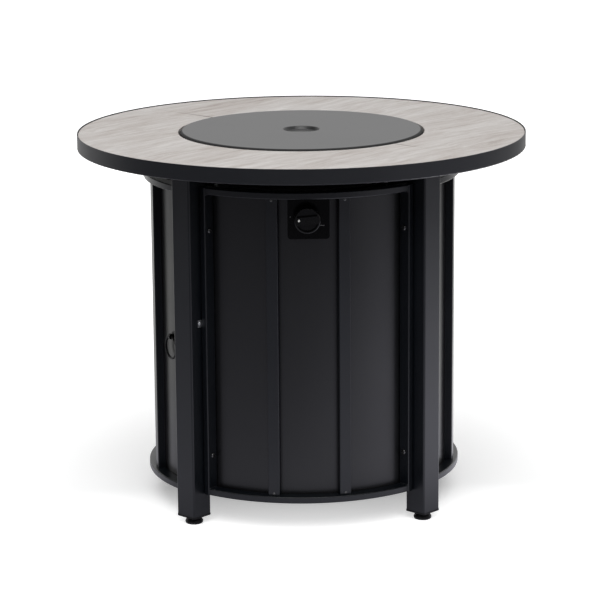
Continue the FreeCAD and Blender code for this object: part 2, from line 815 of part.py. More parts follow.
def make_top_rim():
    """A rolled steel band with an inward hem below and a thin lip round the boards."""
    body = new_body("top_rim")
    inner, hem = S.rim_radius - S.rim_wall, S.rim_radius - S.rim_hem
    profile = new_sketch(body, "along", "rim_profile")
    outline(profile, [
        (hem, rim_bottom),
        (S.rim_radius, rim_bottom, S.rim_round),
        (S.rim_radius, rim_top, S.rim_lip_round),
        (inner, rim_top, S.rim_lip_round),
        (inner, rim_bottom + S.rim_wall, S.rim_round - S.rim_wall),
        (hem, rim_bottom + S.rim_wall),
    ])
    turned(body, "rim", profile)


def make_top_deck():
    """The steel plate under the boards, its edges turned down at the rim and the opening."""
    body = new_body("top_deck")
    outer, inner = S.rim_radius - S.rim_wall, S.deck_opening
    lip, base = S.deck_top - S.deck_lip, S.deck_top - S.deck_thickness
    profile = new_sketch(body, "along", "deck_profile")
    outline(profile, [
        (inner, lip),
        (inner, S.deck_top),
        (outer, S.deck_top),
        (outer, lip),
        (outer - S.deck_thickness, lip),
        (outer - S.deck_thickness, base),
        (inner + S.deck_thickness, base),
        (inner + S.deck_thickness, lip),
    ])
    turned(body, "deck", profile)


def make_support_ring():
    """A rolled square tube under the deck, bolted to the legs' top plates."""
    body = new_body("top_support_ring")
    half, top = S.ring_width / 2, S.deck_top - S.deck_thickness
    section = new_sketch(body, "along", "ring_section")
    box_outline(section, S.leg_radius - half, S.leg_radius + half, plate_top, top)
    box_outline(
        section, S.leg_radius - half + S.ring_wall, S.leg_radius + half - S.ring_wall,
        plate_top + S.ring_wall, top - S.ring_wall)
    turned(body, "ring", section)
    holes = new_sketch(body, "flat", "bolt_holes", S.leg_azimuth, plate_top)
    for side in (-1, 1):
        circle(holes, S.leg_radius, side * S.bolt_spread, S.bolt_radius + S.bolt_fit)
    cut = feature(body, "Pocket", "bolt_hole_cut", holes, S.ring_wall * 2, reverse=True)
    around(body, [cut], "bolt_holes_round", 4)


def make_leg_bolts():
    """Hexagon bolts up through the leg plates into the support ring."""
    body = new_body("leg_bolts")
    heads = new_sketch(body, "flat", "head_outline", S.leg_azimuth, leg_top - S.bolt_head_height)
    shanks = new_sketch(body, "flat", "shank_circles", S.leg_azimuth, leg_top)
    for side in (-1, 1):
        hexagon(heads, S.leg_radius, side * S.bolt_spread, S.bolt_flats)
        circle(shanks, S.leg_radius, side * S.bolt_spread, S.bolt_radius)
    head = feature(body, "Pad", "heads", heads, S.bolt_head_height)
    shank = feature(body, "Pad", "shanks", shanks, S.leg_plate_thickness + S.ring_wall + S.bolt_reach)
    around(body, [head, shank], "bolts_round", 4)


def quarter_ring(sketch, inner, outer, seam):
    """A quarter of a ring about X, its two straight sides drawn in by half a seam."""
    corners = {}
    for radius in (inner, outer):
        run = root(radius * radius - seam * seam / 4)
        reach = run * cosine(S.leg_azimuth) + seam / 2 * sine(S.leg_azimuth)
        rise = run * sine(S.leg_azimuth) - seam / 2 * cosine(S.leg_azimuth)
        corners[radius] = (reach, rise)
    ends = [(V(x.value, -y.value, 0), V(x.value, y.value, 0)) for x, y in corners.values()]
    curves = []
    for radius, (low, high) in zip(corners, ends):
        turn = math.atan2(high.y, high.x)
        curves.append(Part.ArcOfCircle(Part.Circle(V(), UP, radius.value), -turn, turn))
    for side in (0, 1):
        curves.append(Part.LineSegment(ends[0][side], ends[1][side]))
    sketch.addGeometry(curves, False)
    rules = []
    for arc, (radius, (_, rise)) in enumerate(corners.items()):
        rules += [("Coincident", arc, 3, -1, 1), ("Radius", arc, radius)]
        for side, line in ((-1, 2), (1, 3)):
            end = 1 if side < 0 else 2
            rules += [("Coincident", arc, end, line, arc + 1)]
            rules += [("DistanceY", -1, 1, line, arc + 1, rise * side)]
    hold(sketch, rules)


def make_top_board(side, azimuth):
    """One quarter of the wood-look top, its upper edges broken by a small chamfer."""
    body = new_body(f"top_board_{side}", azimuth)
    face = new_sketch(body, "flat", "board_outline", up=S.deck_top)
    outer = S.rim_radius - S.rim_wall - S.board_rim_gap
    quarter_ring(face, S.board_opening, outer, S.board_seam)
    board = feature(body, "Pad", "board", face, S.board_thickness)
    doc.recompute()
    level = board_top.value - S.board_thickness.value / 2
    edges = [f"Edge{i}" for i, edge in enumerate(board.Shape.Edges, start=1) if edge.BoundBox.ZMin > level]
    arris = body.newObject("PartDesign::Chamfer", "arris")
    arris.Base = (board, edges)
    arris.Size = S.board_chamfer.value
    arris.setExpression("Size", S.board_chamfer.text)


def thin_shift(thickness, run, rise):
    """How far a sloped wall's second face lies aside where both faces turn level."""
    slope = run / rise
    return thickness * (root(slope * slope + 1) - slope)


def make_lid():
    """The round burner lid: a dished finger cup in the middle and a turned-down edge."""
    body = new_body("lid")
    top, base = board_top + S.lid_rise, flange_top + S.lid_seat_gap
    floor, wall = top - S.cup_depth, S.lid_thickness
    shift = thin_shift(wall, S.cup_slope, S.cup_depth)
    profile = new_sketch(body, "along", "lid_profile")
    outline(profile, [
        (0, floor),
        (S.cup_radius - S.cup_slope, floor, S.cup_round),
        (S.cup_radius, top, S.cup_round),
        (S.lid_radius, top, S.lid_round),
        (S.lid_radius, base),
        (S.lid_radius - wall, base),
        (S.lid_radius - wall, top - wall, S.lid_round - wall),
        (S.cup_radius + shift, top - wall, S.cup_round - wall),
        (S.cup_radius - S.cup_slope + shift, floor - wall, S.cup_round + wall),
        (0, floor - wall),
    ])
    turned(body, "lid", profile)


def make_burner_pan():
    """A pressed steel bowl whose flange hangs on the deck round the opening."""
    body = new_body("burner_pan")
    wall, hole = S.pan_thickness, S.mixer_radius + S.mixer_fit
    shift = thin_shift(wall, S.pan_mouth_radius - S.pan_floor_radius, S.pan_depth)
    profile = new_sketch(body, "along", "pan_profile")
    outline(profile, [
        (hole, pan_floor),
        (S.pan_floor_radius, pan_floor, S.pan_floor_round),
        (S.pan_mouth_radius, flange_top, S.pan_mouth_round),
        (S.pan_flange_radius, flange_top),
        (S.pan_flange_radius, S.deck_top),
        (S.pan_mouth_radius + shift, S.deck_top, S.pan_mouth_round - wall),
        (S.pan_floor_radius + shift, pan_floor - wall, S.pan_floor_round + wall),
        (hole, pan_floor - wall),
    ])
    turned(body, "pan", profile)


def make_burner_ring():
    """A tube ring with gas ports, fed through a cross tube and a middle hub."""
    body = new_body("burner_ring")
    ring = new_sketch(body, "along", "ring_section")
    circle(ring, S.burner_radius, burner_level, S.burner_tube_radius)
    turned(body, "ring", ring)
    bar = new_sketch(body, "across", "bar_section")
    circle(bar, 0, burner_level, S.burner_bar_radius)
    feature(body, "Pad", "bar", bar, S.burner_radius * 2, both=True)
    hub = new_sketch(body, "flat", "hub_circle", up=pan_floor)
    circle(hub, 0, 0, S.burner_hub_radius)
    feature(body, "Pad", "hub", hub, S.burner_rise + S.burner_tube_radius)
    bore_radius = S.burner_tube_radius - S.burner_tube_wall
    ring_bore = new_sketch(body, "along", "ring_bore")
    circle(ring_bore, S.burner_radius, burner_level, bore_radius)
    turned(body, "ring_bore_cut", ring_bore, kind="Groove")
    bar_bore = new_sketch(body, "across", "bar_bore")
    circle(bar_bore, 0, burner_level, S.burner_bar_radius - S.burner_tube_wall)
    feature(body, "Pocket", "bar_bore_cut", bar_bore, S.burner_radius * 2, both=True)
    hub_bore = new_sketch(body, "flat", "hub_bore", up=pan_floor)
    circle(hub_bore, 0, 0, S.mixer_radius + S.mixer_fit)
    feature(body, "Pocket", "hub_bore_cut", hub_bore, S.burner_rise, reverse=True)
    port = new_sketch(body, "flat", "port_circle", size(180) / S.burner_ports, burner_level)
    circle(port, S.burner_radius, 0, S.burner_port_radius)
    cut = feature(body, "Pocket", "port_cut", port, S.burner_tube_radius + BEYOND, reverse=True)
    around(body, [cut], "ports", S.burner_ports)


def make_air_mixer():
    """The upright tube that mixes gas and air, with a collar under the bowl."""
    body = new_body("air_mixer")
    outer, inner = S.mixer_radius, S.mixer_radius - S.mixer_wall
    collar_top = pan_floor - S.pan_thickness
    collar_base = collar_top - S.mixer_collar_height
    profile = new_sketch(body, "along", "mixer_profile")
    outline(profile, [
        (inner, mixer_base),
        (inner, pan_floor + S.mixer_reach),
        (outer, pan_floor + S.mixer_reach),
        (outer, collar_top),
        (S.mixer_collar_radius, collar_top),
        (S.mixer_collar_radius, collar_base),
        (outer, collar_base),
        (outer, mixer_base),
    ])
    turned(body, "mixer", profile)
    hole = new_sketch(body, "across", "air_hole")
    circle(hole, 0, (mixer_base + S.injector_nose + collar_base) / 2, S.air_hole_radius)
    feature(body, "Pocket", "air_holes", hole, S.mixer_radius * 2 + BEYOND, both=True)


def make_gas_injector():
    """The brass nozzle under the mixer: a hexagon, a nose and a fine bore."""
    body = new_body("gas_injector")
    base = mixer_base - S.injector_height
    flats = new_sketch(body, "flat", "hexagon", up=base)
    hexagon(flats, size(0), size(0), S.injector_flats)
    feature(body, "Pad", "hexagon_body", flats, S.injector_height)
    nose = new_sketch(body, "flat", "nose_circle", up=mixer_base)
    circle(nose, 0, 0, S.injector_nose_radius)
    feature(body, "Pad", "nose", nose, S.injector_nose)
    bore = new_sketch(body, "flat", "bore_circle", up=base)
    circle(bore, 0, 0, S.injector_bore_radius)
    feature(body, "Pocket", "bore", bore, S.injector_height + S.injector_nose + BEYOND, reverse=True)
    socket = new_sketch(body, "flat", "socket_circle", up=base)
    circle(socket, 0, 0, S.pipe_radius + S.pipe_fit)
    feature(body, "Pocket", "socket", socket, S.injector_socket, reverse=True)


def make_gas_pipe():
    """A bent pipe from the valve's outlet to the injector."""
    start = valve_rear - S.outlet_length - S.pipe_fit
    body = new_body("gas_pipe", SIDES["front"] + arcsine(S.knob_offset / start))
    path = new_sketch(body, "along", "pipe_route")
    outline(path, [
        (start, valve_height),
        (start - S.pipe_run, valve_height, S.pipe_bend),
        (start - S.pipe_run - S.pipe_fall, pipe_level, S.pipe_bend),
        (0, pipe_level, S.pipe_elbow),
        (0, mixer_base - S.injector_height + S.injector_socket - S.pipe_fit),
    ], closed=False)
    section = new_sketch(body, "across", "pipe_section", out=start)
    circle(section, 0, valve_height, S.pipe_radius)
    circle(section, 0, valve_height, S.pipe_radius - S.pipe_wall)
    pipe = body.newObject("PartDesign::AdditivePipe", "pipe")
    pipe.Profile = section
    pipe.Spine = (path, [])


def make_heat_shield():
    """A disc on three studs under the bowl that keeps the heat off the gas tank."""
    body = new_body("heat_shield")
    top = pan_floor - S.pan_thickness - S.shield_drop
    profile = new_sketch(body, "along", "shield_profile")
    outline(profile, [
        (S.shield_hole_radius, top),
        (S.shield_radius, top),
        (S.shield_radius, top - S.shield_lip),
        (S.shield_radius - S.pan_thickness, top - S.shield_lip),
        (S.shield_radius - S.pan_thickness, top - S.pan_thickness),
        (S.shield_hole_radius, top - S.pan_thickness),
    ])
    turned(body, "shield", profile)
    stud = new_sketch(body, "flat", "stud_circle", up=top)
    circle(stud, S.shield_stud_circle, 0, S.shield_stud_radius)
    post = feature(body, "Pad", "stud", stud, S.shield_drop)
    around(body, [post], "studs", 3)


def make_flame_parts():
    """A small bracket on the bowl's floor with the spark electrode and the flame probe."""
    near = S.flame_distance - S.electrode_radius - S.pan_thickness
    far, half = near + S.flame_bracket_depth, S.flame_bracket_width / 2
    bracket = new_body("flame_bracket", S.flame_azimuth)
    section = new_sketch(bracket, "along", "bracket_section")
    outline(section, [
        (near, pan_floor),
        (far, pan_floor),
        (far, pan_floor + S.flame_bracket_height),
        (far - S.pan_thickness, pan_floor + S.flame_bracket_height),
        (far - S.pan_thickness, pan_floor + S.pan_thickness),
        (near, pan_floor + S.pan_thickness),
    ])
    feature(bracket, "Pad", "bracket", section, half * 2, both=True)
    holes = new_sketch(bracket, "flat", "stand_holes", up=pan_floor)
    circle(holes, S.flame_distance, -S.probe_spread, S.electrode_radius + S.mixer_fit)
    circle(holes, S.flame_distance, S.probe_spread, S.probe_radius + S.mixer_fit)
    feature(bracket, "Pocket", "stand_hole_cut", holes, S.pan_thickness * 2, reverse=True)
    electrode = new_body("spark_electrode", S.flame_azimuth, S.flame_distance, -S.probe_spread)
    profile = new_sketch(electrode, "along", "electrode_profile")
    shoulder = pan_floor + S.electrode_height
    outline(profile, [
        (0, pan_floor),
        (S.electrode_radius, pan_floor),
        (S.electrode_radius, shoulder),
        (S.electrode_tip_radius, shoulder),
        (S.electrode_tip_radius, shoulder + S.electrode_tip),
        (0, shoulder + S.electrode_tip),
    ])
    turned(electrode, "electrode", profile)
    probe = new_body("flame_probe", S.flame_azimuth, S.flame_distance, S.probe_spread)
    profile = new_sketch(probe, "along", "probe_profile")
    tip = pan_floor + S.probe_height
    outline(profile, [
        (0, pan_floor),
        (S.probe_radius, pan_floor),
        (S.probe_radius, tip - S.probe_radius),
        (S.probe_radius / 2, tip),
        (0, tip),
    ])
    turned(probe, "probe", profile)


def make_control_plate():
    """The plate behind the knob: flat in front, hollowed to the sheet's curve behind."""
    body = new_body("control_plate", SIDES["front"])
    low, high = S.plate_offset - S.plate_width / 2, S.plate_offset + S.plate_width / 2
    top = window_top - S.plate_top_gap
    face = new_sketch(body, "across", "plate_outline", out=plate_front)
    outline(face, [
        (low, plate_bottom, S.plate_round),
        (high, plate_bottom, S.plate_round),
        (high, top),
        (low, top),
    ])
    depth = plate_front - frame_inner + BEYOND
    feature(body, "Pad", "plate", face, depth, reverse=True)
    hollow = new_sketch(body, "along", "hollow_section")
    box_outline(hollow, frame_inner - WELL_BEYOND, frame_inner, plate_bottom - BEYOND, top + BEYOND)
    turned(body, "hollow", hollow, kind="Groove", angle=S.leg_azimuth * 2)
    hole = new_sketch(body, "across", "neck_hole", out=plate_front)
    circle(hole, S.knob_offset, valve_height, S.neck_radius + S.neck_fit)
    feature(body, "Pocket", "neck_hole_cut", hole, depth)


def valve_body_frame(label):
    """A body whose X axis lies over the valve's axis, pointing out of the front panel."""
    return new_body(label, SIDES["front"], aside=S.knob_offset)


def make_gas_valve():
    """The valve: a round body, a neck for the stem, an outlet behind and an inlet below."""
    body = valve_body_frame("gas_valve")
    profile = new_sketch(body, "along", "valve_profile", up=valve_height)
    outline(profile, [
        (valve_rear - S.outlet_length, 0),
        (neck_front, 0),
        (neck_front, S.neck_radius),
        (valve_shoulder, S.neck_radius),
        (valve_shoulder, S.valve_radius),
        (valve_rear, S.valve_radius),
        (valve_rear, S.outlet_radius),
        (valve_rear - S.outlet_length, S.outlet_radius),
    ])
    turned(body, "casting", profile, axis="H_Axis")
    inlet = new_sketch(body, "flat", "inlet_circle", up=valve_height)
    circle(inlet, inlet_distance, 0, S.inlet_radius)
    feature(body, "Pad", "inlet", inlet, S.valve_radius + S.inlet_length, reverse=True)
    spring_end = neck_front - S.valve_bore_depth
    bore = new_sketch(body, "along", "stem_bore", up=valve_height)
    outline(bore, [
        (spring_end - S.stem_tail - S.knob_travel - S.pipe_wall, 0),
        (neck_front, 0),
        (neck_front, S.stem_radius + S.neck_fit),
        (neck_front - S.neck_lip, S.stem_radius + S.neck_fit),
        (neck_front - S.neck_lip, S.valve_bore_radius),
        (spring_end, S.valve_bore_radius),
        (spring_end, S.stem_radius + S.stem_fit),
        (spring_end - S.stem_tail - S.knob_travel - S.pipe_wall, S.stem_radius + S.stem_fit),
    ])
    turned(body, "stem_bore_cut", bore, kind="Groove", axis="H_Axis")
    outlet = new_sketch(body, "across", "outlet_bore", out=valve_rear - S.outlet_length)
    circle(outlet, 0, valve_height, S.pipe_radius - S.pipe_wall)
    feature(body, "Pocket", "outlet_bore_cut", outlet, S.outlet_length, reverse=True)
    mouth = new_sketch(body, "flat", "inlet_bore", up=valve_height - S.valve_radius - S.inlet_length)
    circle(mouth, inlet_distance, 0, S.inlet_bore_radius)
    feature(body, "Pocket", "inlet_bore_cut", mouth, S.inlet_length, reverse=True)


def make_lock_nut():
    """The flat nut that clamps the plate and the sheet to the valve's neck."""
    body = valve_body_frame("valve_lock_nut")
    section = new_sketch(body, "across", "nut_outline", out=plate_front, up=valve_height)
    hexagon(section, size(0), size(0), S.nut_flats)
    circle(section, 0, 0, S.neck_radius + S.pipe_fit)
    feature(body, "Pad", "nut", section, S.nut_thickness)


def make_stem_parts():
    """The stem with its collar, the push washer behind it and the return spring."""
    spring_end = neck_front - S.valve_bore_depth
    washer = spring_end + S.spring_length
    collar = washer + S.washer_thickness + S.washer_gap
    collar_front = neck_front - S.neck_lip - S.washer_gap
    stem = valve_body_frame("valve_stem")
    profile = new_sketch(stem, "along", "stem_profile", up=valve_height)
    outline(profile, [
        (spring_end - S.stem_tail, 0),
        (stem_front, 0),
        (stem_front, S.stem_radius),
        (collar_front, S.stem_radius),
        (collar_front, S.collar_radius),
        (collar, S.collar_radius),
        (collar, S.stem_radius),
        (spring_end - S.stem_tail, S.stem_radius),
    ])
    turned(stem, "stem", profile, axis="H_Axis")
    pieces = {
        "push_washer": (washer, S.washer_thickness, S.washer_radius, S.stem_radius + S.stem_fit),
        "valve_spring": (spring_end, S.spring_length, S.spring_radius + S.spring_wire_radius,
                         S.spring_radius - S.spring_wire_radius),
    }
    for label, (start, length, outer, inner) in pieces.items():
        body = valve_body_frame(label)
        ring = new_sketch(body, "across", "ring", out=start, up=valve_height)
        circle(ring, 0, 0, outer)
        circle(ring, 0, 0, inner)
        feature(body, "Pad", "sleeve", ring, length)


def half_moon(sketch, radius, level, tilt):
    """The part of a circle about the origin that lies past a tilted chord."""
    side = 1 if level.value > 0 else -1
    chord = root(radius * radius - level * level)
    reach = (chord * cosine(tilt), chord * sine(tilt))
    middle = (-(level * sine(tilt)), level * cosine(tilt))
    right = (middle[0] + reach[0], middle[1] + reach[1])
    left = (middle[0] - reach[0], middle[1] - reach[1])
    first, last = (right, left) if side > 0 else (left, right)
    angles = [math.atan2(y.value, x.value) for x, y in (first, last)]
    arc = sketch.addGeometry(Part.ArcOfCircle(Part.Circle(V(), UP, radius.value), *angles), False)
    ends = [V(x.value, y.value, 0) for x, y in (last, first)]
    line = sketch.addGeometry(Part.LineSegment(*ends), False)
    hold(sketch, [
        ("Coincident", arc, 3, -1, 1),
        ("Radius", arc, radius),
        ("Coincident", arc, 2, line, 1),
        ("Coincident", arc, 1, line, 2),
        ("DistanceY", -1, 1, line, 1, last[1]),
        ("DistanceY", -1, 1, line, 2, first[1]),
    ])


def make_knob():
    """The knob: a hollow skirt, a stem socket and a grip bar between two scoops."""
    body = valve_body_frame("control_knob")
    socket, bore = stem_front + S.pipe_fit, S.stem_radius + S.stem_fit
    cavity = knob_back + S.knob_cavity_depth
    profile = new_sketch(body, "along", "knob_profile", up=valve_height)
    outline(profile, [
        (socket, 0),
        (knob_front, 0),
        (knob_front, S.knob_radius, S.knob_edge_round),
        (knob_back, S.knob_radius),
        (knob_back, S.knob_cavity_radius),
        (cavity, S.knob_cavity_radius),
        (cavity, S.knob_boss_radius),
        (knob_boss_back, S.knob_boss_radius),
        (knob_boss_back, bore),
        (socket, bore),
    ])
    turned(body, "skirt", profile, axis="H_Axis")
    for side in (-1, 1):
        scoop = new_sketch(body, "across", f"scoop_{'low' if side < 0 else 'high'}", up=valve_height,
                           out=knob_front)
        half_moon(scoop, S.knob_radius - S.knob_rim, S.grip_width / 2 * side, S.grip_azimuth)
        feature(body, "Pocket", f"{scoop.Name}_cut", scoop, S.grip_recess)


def make_tank_shelf():
    """A dished tray for the gas tank, hung on four tabs between the legs."""
    body = new_body("tank_shelf")
    thick, top = S.shelf_thickness, S.shelf_top
    floor, foot = top - S.shelf_dish_depth, S.shelf_dish_radius - S.shelf_dish_slope
    shift = thin_shift(thick, S.shelf_dish_slope, S.shelf_dish_depth)
    profile = new_sketch(body, "along", "shelf_profile")
    outline(profile, [
        (S.shelf_hole_radius, floor),
        (foot, floor, S.shelf_round),
        (S.shelf_dish_radius, top, S.shelf_round),
        (shelf_edge - thick, top, S.shelf_round),
        (shelf_edge - thick, top + S.shelf_lip),
        (shelf_edge, top + S.shelf_lip),
        (shelf_edge, top - thick, S.shelf_round + thick),
        (S.shelf_dish_radius + shift, top - thick),
        (foot + shift, floor - thick),
        (S.shelf_hole_radius, floor - thick),
    ])
    turned(body, "tray", profile)
    half = S.shelf_tab_width / 2
    arm = new_sketch(body, "flat", "arm_outline", S.leg_azimuth, top - thick)
    box_outline(arm, shelf_edge - BEYOND, leg_inner, -half, half)
    reach = feature(body, "Pad", "arm", arm, thick)
    tab = new_sketch(body, "across", "tab_outline", S.leg_azimuth, out=leg_inner - thick)
    box_outline(tab, -half, half, top - S.shelf_tab_height, top)
    circle(tab, 0, tab_middle, S.screw_radius + S.screw_fit)
    ear = feature(body, "Pad", "tab", tab, thick)
    around(body, [reach, ear], "tabs", 4)


def make_hinges():
    """Two barrel hinges: a leaf screwed to the leg, a leaf welded to the door, a pin."""
    rise, half = hinge_high - hinge_low, S.hinge_height / 2
    base = hinge_low - half
    gap_base = base + S.knuckle_height
    gap_height = S.hinge_height - S.knuckle_height * 2
    leaf_end = leg_outer - S.leg_round
    corner = CORNERS["rear_left"]

    leg_leaf = new_body("hinge_leg_leaves", corner)
    plate = new_sketch(leg_leaf, "flat", "leaf_outline", up=base)
    box_outline(plate, pin_out, leaf_end, leg_half, leg_half + S.hinge_thickness)
    barrel = new_sketch(leg_leaf, "flat", "barrel_circle", up=base)
    circle(barrel, pin_out, pin_aside, S.barrel_radius)
    notch = new_sketch(leg_leaf, "flat", "notch_circle", up=gap_base)
    circle(notch, pin_out, pin_aside, S.barrel_radius + S.barrel_fit)
    bore = new_sketch(leg_leaf, "flat", "pin_bore", up=base)
    circle(bore, pin_out, pin_aside, S.pin_radius + S.pin_fit)
    holes = new_sketch(leg_leaf, "along", "leaf_holes")
    for height in hinge_screw_heights()[:2]:
        circle(holes, hinge_screw_out(), height, S.screw_radius + S.screw_fit)
    pieces = [
        feature(leg_leaf, "Pad", "leaf", plate, S.hinge_height),
        feature(leg_leaf, "Pad", "barrel", barrel, S.hinge_height),
        feature(leg_leaf, "Pocket", "notch", notch, gap_height, reverse=True),
        feature(leg_leaf, "Pocket", "pin_bore_cut", bore, S.hinge_height, reverse=True),
        feature(leg_leaf, "Pocket", "leaf_hole_cut", holes, leg_half * 2),
    ]
    many(leg_leaf, pieces, "two_leaves", spread=rise)

    door_leaf = new_body("hinge_door_leaves", corner)
    height = gap_height - S.barrel_fit * 2
    plate = new_sketch(door_leaf, "flat", "leaf_outline", up=gap_base + S.barrel_fit)
    box_outline(plate, stile_outer, stile_outer + S.hinge_thickness, pin_aside, stile_far)
    barrel = new_sketch(door_leaf, "flat", "barrel_circle", up=gap_base + S.barrel_fit)
    circle(barrel, pin_out, pin_aside, S.barrel_radius)
    bore = new_sketch(door_leaf, "flat", "pin_bore", up=gap_base + S.barrel_fit)
    circle(bore, pin_out, pin_aside, S.pin_radius + S.pin_fit)
    pieces = [
        feature(door_leaf, "Pad", "leaf", plate, height),
        feature(door_leaf, "Pad", "barrel", barrel, height),
        feature(door_leaf, "Pocket", "pin_bore_cut", bore, height, reverse=True),
    ]
    many(door_leaf, pieces, "two_leaves", spread=rise)

    pins = new_body("hinge_pins", corner)
    shank = new_sketch(pins, "flat", "pin_circle", up=base)
    circle(shank, pin_out, pin_aside, S.pin_radius)
    head = new_sketch(pins, "flat", "head_circle", up=base + S.hinge_height)
    circle(head, pin_out, pin_aside, S.pin_head_radius)
    pieces = [
        feature(pins, "Pad", "pin", shank, S.hinge_height),
        feature(pins, "Pad", "head", head, S.pin_head_height),
    ]
    many(pins, pieces, "two_pins", spread=rise)


def make_catch():
    """The door catch on the front left leg, and its strike on the door's sheet."""
    corner, half = CORNERS["front_left"], S.catch_box_height / 2
    sheet_inner = frame_inner - S.sheet_thickness
    box_near = leg_half + S.catch_strap_thickness
    box_far = box_near + S.catch_box_width
    strike_plane = root(sheet_inner * sheet_inner - box_far * box_far) - S.strike_thickness
    box_front = strike_plane - S.catch_gap
    box_back = box_front - S.catch_box_depth

    strap = new_body("catch_strap", corner)
    face = new_sketch(strap, "along", "strap_outline", aside=-leg_half)
    reach = S.catch_strap_height / 2
    box_outline(
        face, box_back, catch_bolt_distance + S.catch_strap_end,
        S.catch_height - reach, S.catch_height + reach)
    circle(face, catch_bolt_distance, S.catch_height, S.catch_bolt_radius + S.screw_fit)
    feature(strap, "Pad", "strap", face, S.catch_strap_thickness)

    housing = new_body("catch_housing", corner)
    section = new_sketch(housing, "flat", "housing_section", up=S.catch_height - half)
    outline(section, [
        (box_back, -box_far),
        (box_front, -box_far),
        (box_front, -box_near),
        (box_back, -box_near),
    ])
    feature(housing, "Pad", "housing", section, S.catch_box_height)

    strike = new_body("catch_strike", corner)
    face = new_sketch(strike, "across", "strike_outline", out=strike_plane)
    box_outline(
        face, -box_far, -leg_half - S.sheet_side_gap - S.catch_gap,
        S.catch_height - half, S.catch_height + half)
    feature(strike, "Pad", "block", face, BEYOND)
    trim = new_sketch(strike, "along", "trim_section")
    strike_back = sheet_inner - S.strike_fit
    box_outline(
        trim, strike_back, strike_back + WELL_BEYOND,
        S.catch_height - half - BEYOND, S.catch_height + half + BEYOND)
    turned(strike, "curved_back", trim, kind="Groove", angle=S.leg_azimuth)

    plate = new_body("catch_backing_plate", corner)
    plate_face = leg_half + S.catch_plate_thickness
    face = new_sketch(plate, "along", "plate_outline", aside=plate_face)
    wide, tall = S.catch_plate_width / 2, S.catch_plate_height / 2
    box_outline(
        face, catch_bolt_distance - wide, catch_bolt_distance + wide,
        S.catch_height - tall, S.catch_height + tall)
    circle(face, catch_bolt_distance, S.catch_height, S.catch_bolt_radius + S.screw_fit)
    feature(plate, "Pad", "plate", face, S.catch_plate_thickness)

    bolt = new_body("catch_bolt", corner)
    profile = new_sketch(bolt, "across", "bolt_profile", up=S.catch_height, out=catch_bolt_distance)
    outline(profile, [
        (-box_near, 0),
        (plate_face + S.catch_head_height, 0),
        (plate_face + S.catch_head_height, S.catch_head_radius),
        (plate_face, S.catch_head_radius),
        (plate_face, S.catch_bolt_radius),
        (-box_near, S.catch_bolt_radius),
    ])
    turned(bolt, "bolt", profile, axis="H_Axis")


def make_door_pull():
    """A ring handle that hangs from an eye on the door."""
    azimuth = SIDES["left"] + S.pull_azimuth
    bracket = new_body("door_pull_bracket", azimuth)
    disc = new_sketch(bracket, "across", "plate_circle", out=frame_inner)
    circle(disc, 0, S.pull_height, S.pull_plate_radius)
    feature(bracket, "Pad", "plate", disc, S.pull_plate_thickness)
    lug = new_sketch(bracket, "along", "lug_outline")
    half = S.pull_lug_height / 2
    box_outline(lug, frame_inner, pull_eye_distance, S.pull_height - half, S.pull_height + half)
    feature(bracket, "Pad", "lug", lug, S.pull_eye_width, both=True)
    eye = new_sketch(bracket, "along", "eye_circle")
    circle(eye, pull_eye_distance, S.pull_height, S.pull_eye_radius)
    feature(bracket, "Pad", "eye", eye, S.pull_eye_width, both=True)
    bore = new_sketch(bracket, "along", "eye_bore")
    circle(bore, pull_eye_distance, S.pull_height, S.pull_wire_radius + S.pull_eye_fit)
    feature(bracket, "Pocket", "eye_bore_cut", bore, S.pull_plate_radius * 2, both=True)

    ring = new_body("door_pull_ring", azimuth, pull_eye_distance, up=S.pull_height - S.pull_ring_radius)
    wire = new_sketch(ring, "along", "wire_circle")
    circle(wire, 0, S.pull_ring_radius, S.pull_wire_radius)
    turned(ring, "ring", wire, axis="H_Axis")


def export_all():
    """Checks every object, then writes one file for each sub-part."""
    doc.recompute()
    for item in doc.Objects:
        if "Invalid" in item.State or "Error" in item.State:
            raise RuntimeError(f"{item.Label} ({item.Name}) failed: {item.State}")
    os.makedirs("parts", exist_ok=True)
    for body in sub_parts:
        if body.Shape.isNull() or not body.Shape.isValid():
            raise RuntimeError(f"{body.Label} has no valid shape")
    for body in sub_parts:
        body.Shape.exportStep(f"parts/{body.Label}.step")
        box = body.Shape.BoundBox
        print(f"{body.Label}: {len(body.Shape.Solids)} solids, {body.Shape.Volume / 1000:.1f} cm3,"
              f" z {box.ZMin:.1f} to {box.ZMax:.1f}, x {box.XMin:.1f} to {box.XMax:.1f},"
              f" y {box.YMin:.1f} to {box.YMax:.1f}")


screw_sides = {"front_left": [1], "front_right": [-1, 1], "rear_right": [-1, 1], "rear_left": [-1]}
for corner, azimuth in CORNERS.items():
    make_leg(corner, azimuth, screw_sides[corner])
    make_foot(corner, azimuth)
make_leg_end_caps()
for side, azimuth in SIDES.items():
    panel, sag = ("door", S.door_sag) if side == "left" else (side, 0)
    make_panel_frame(panel, azimuth, sag)
    make_panel_sheet(panel, azimuth, sag)
    make_panel_slats(panel, azimuth, sag)
make_slat_rivets("panel_slat_rivets", SIDES["front"], (3, 180), 0)
make_slat_rivets("door_slat_rivets", SIDES["left"], None, S.door_sag)
make_frame_screws()
make_top_rim()
make_top_deck()
make_support_ring()
make_leg_bolts()
for side, azimuth in SIDES.items():
    make_top_board(side, azimuth)
make_lid()
make_burner_pan()
make_burner_ring()
make_air_mixer()
make_gas_injector()
make_gas_pipe()
make_heat_shield()
make_flame_parts()
make_control_plate()
make_gas_valve()
make_lock_nut()
make_stem_parts()
make_knob()
make_tank_shelf()
make_hinges()
make_catch()
make_door_pull()
export_all()
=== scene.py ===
import math

import bmesh
import bpy
import numpy as np
from mathutils import Matrix, Vector


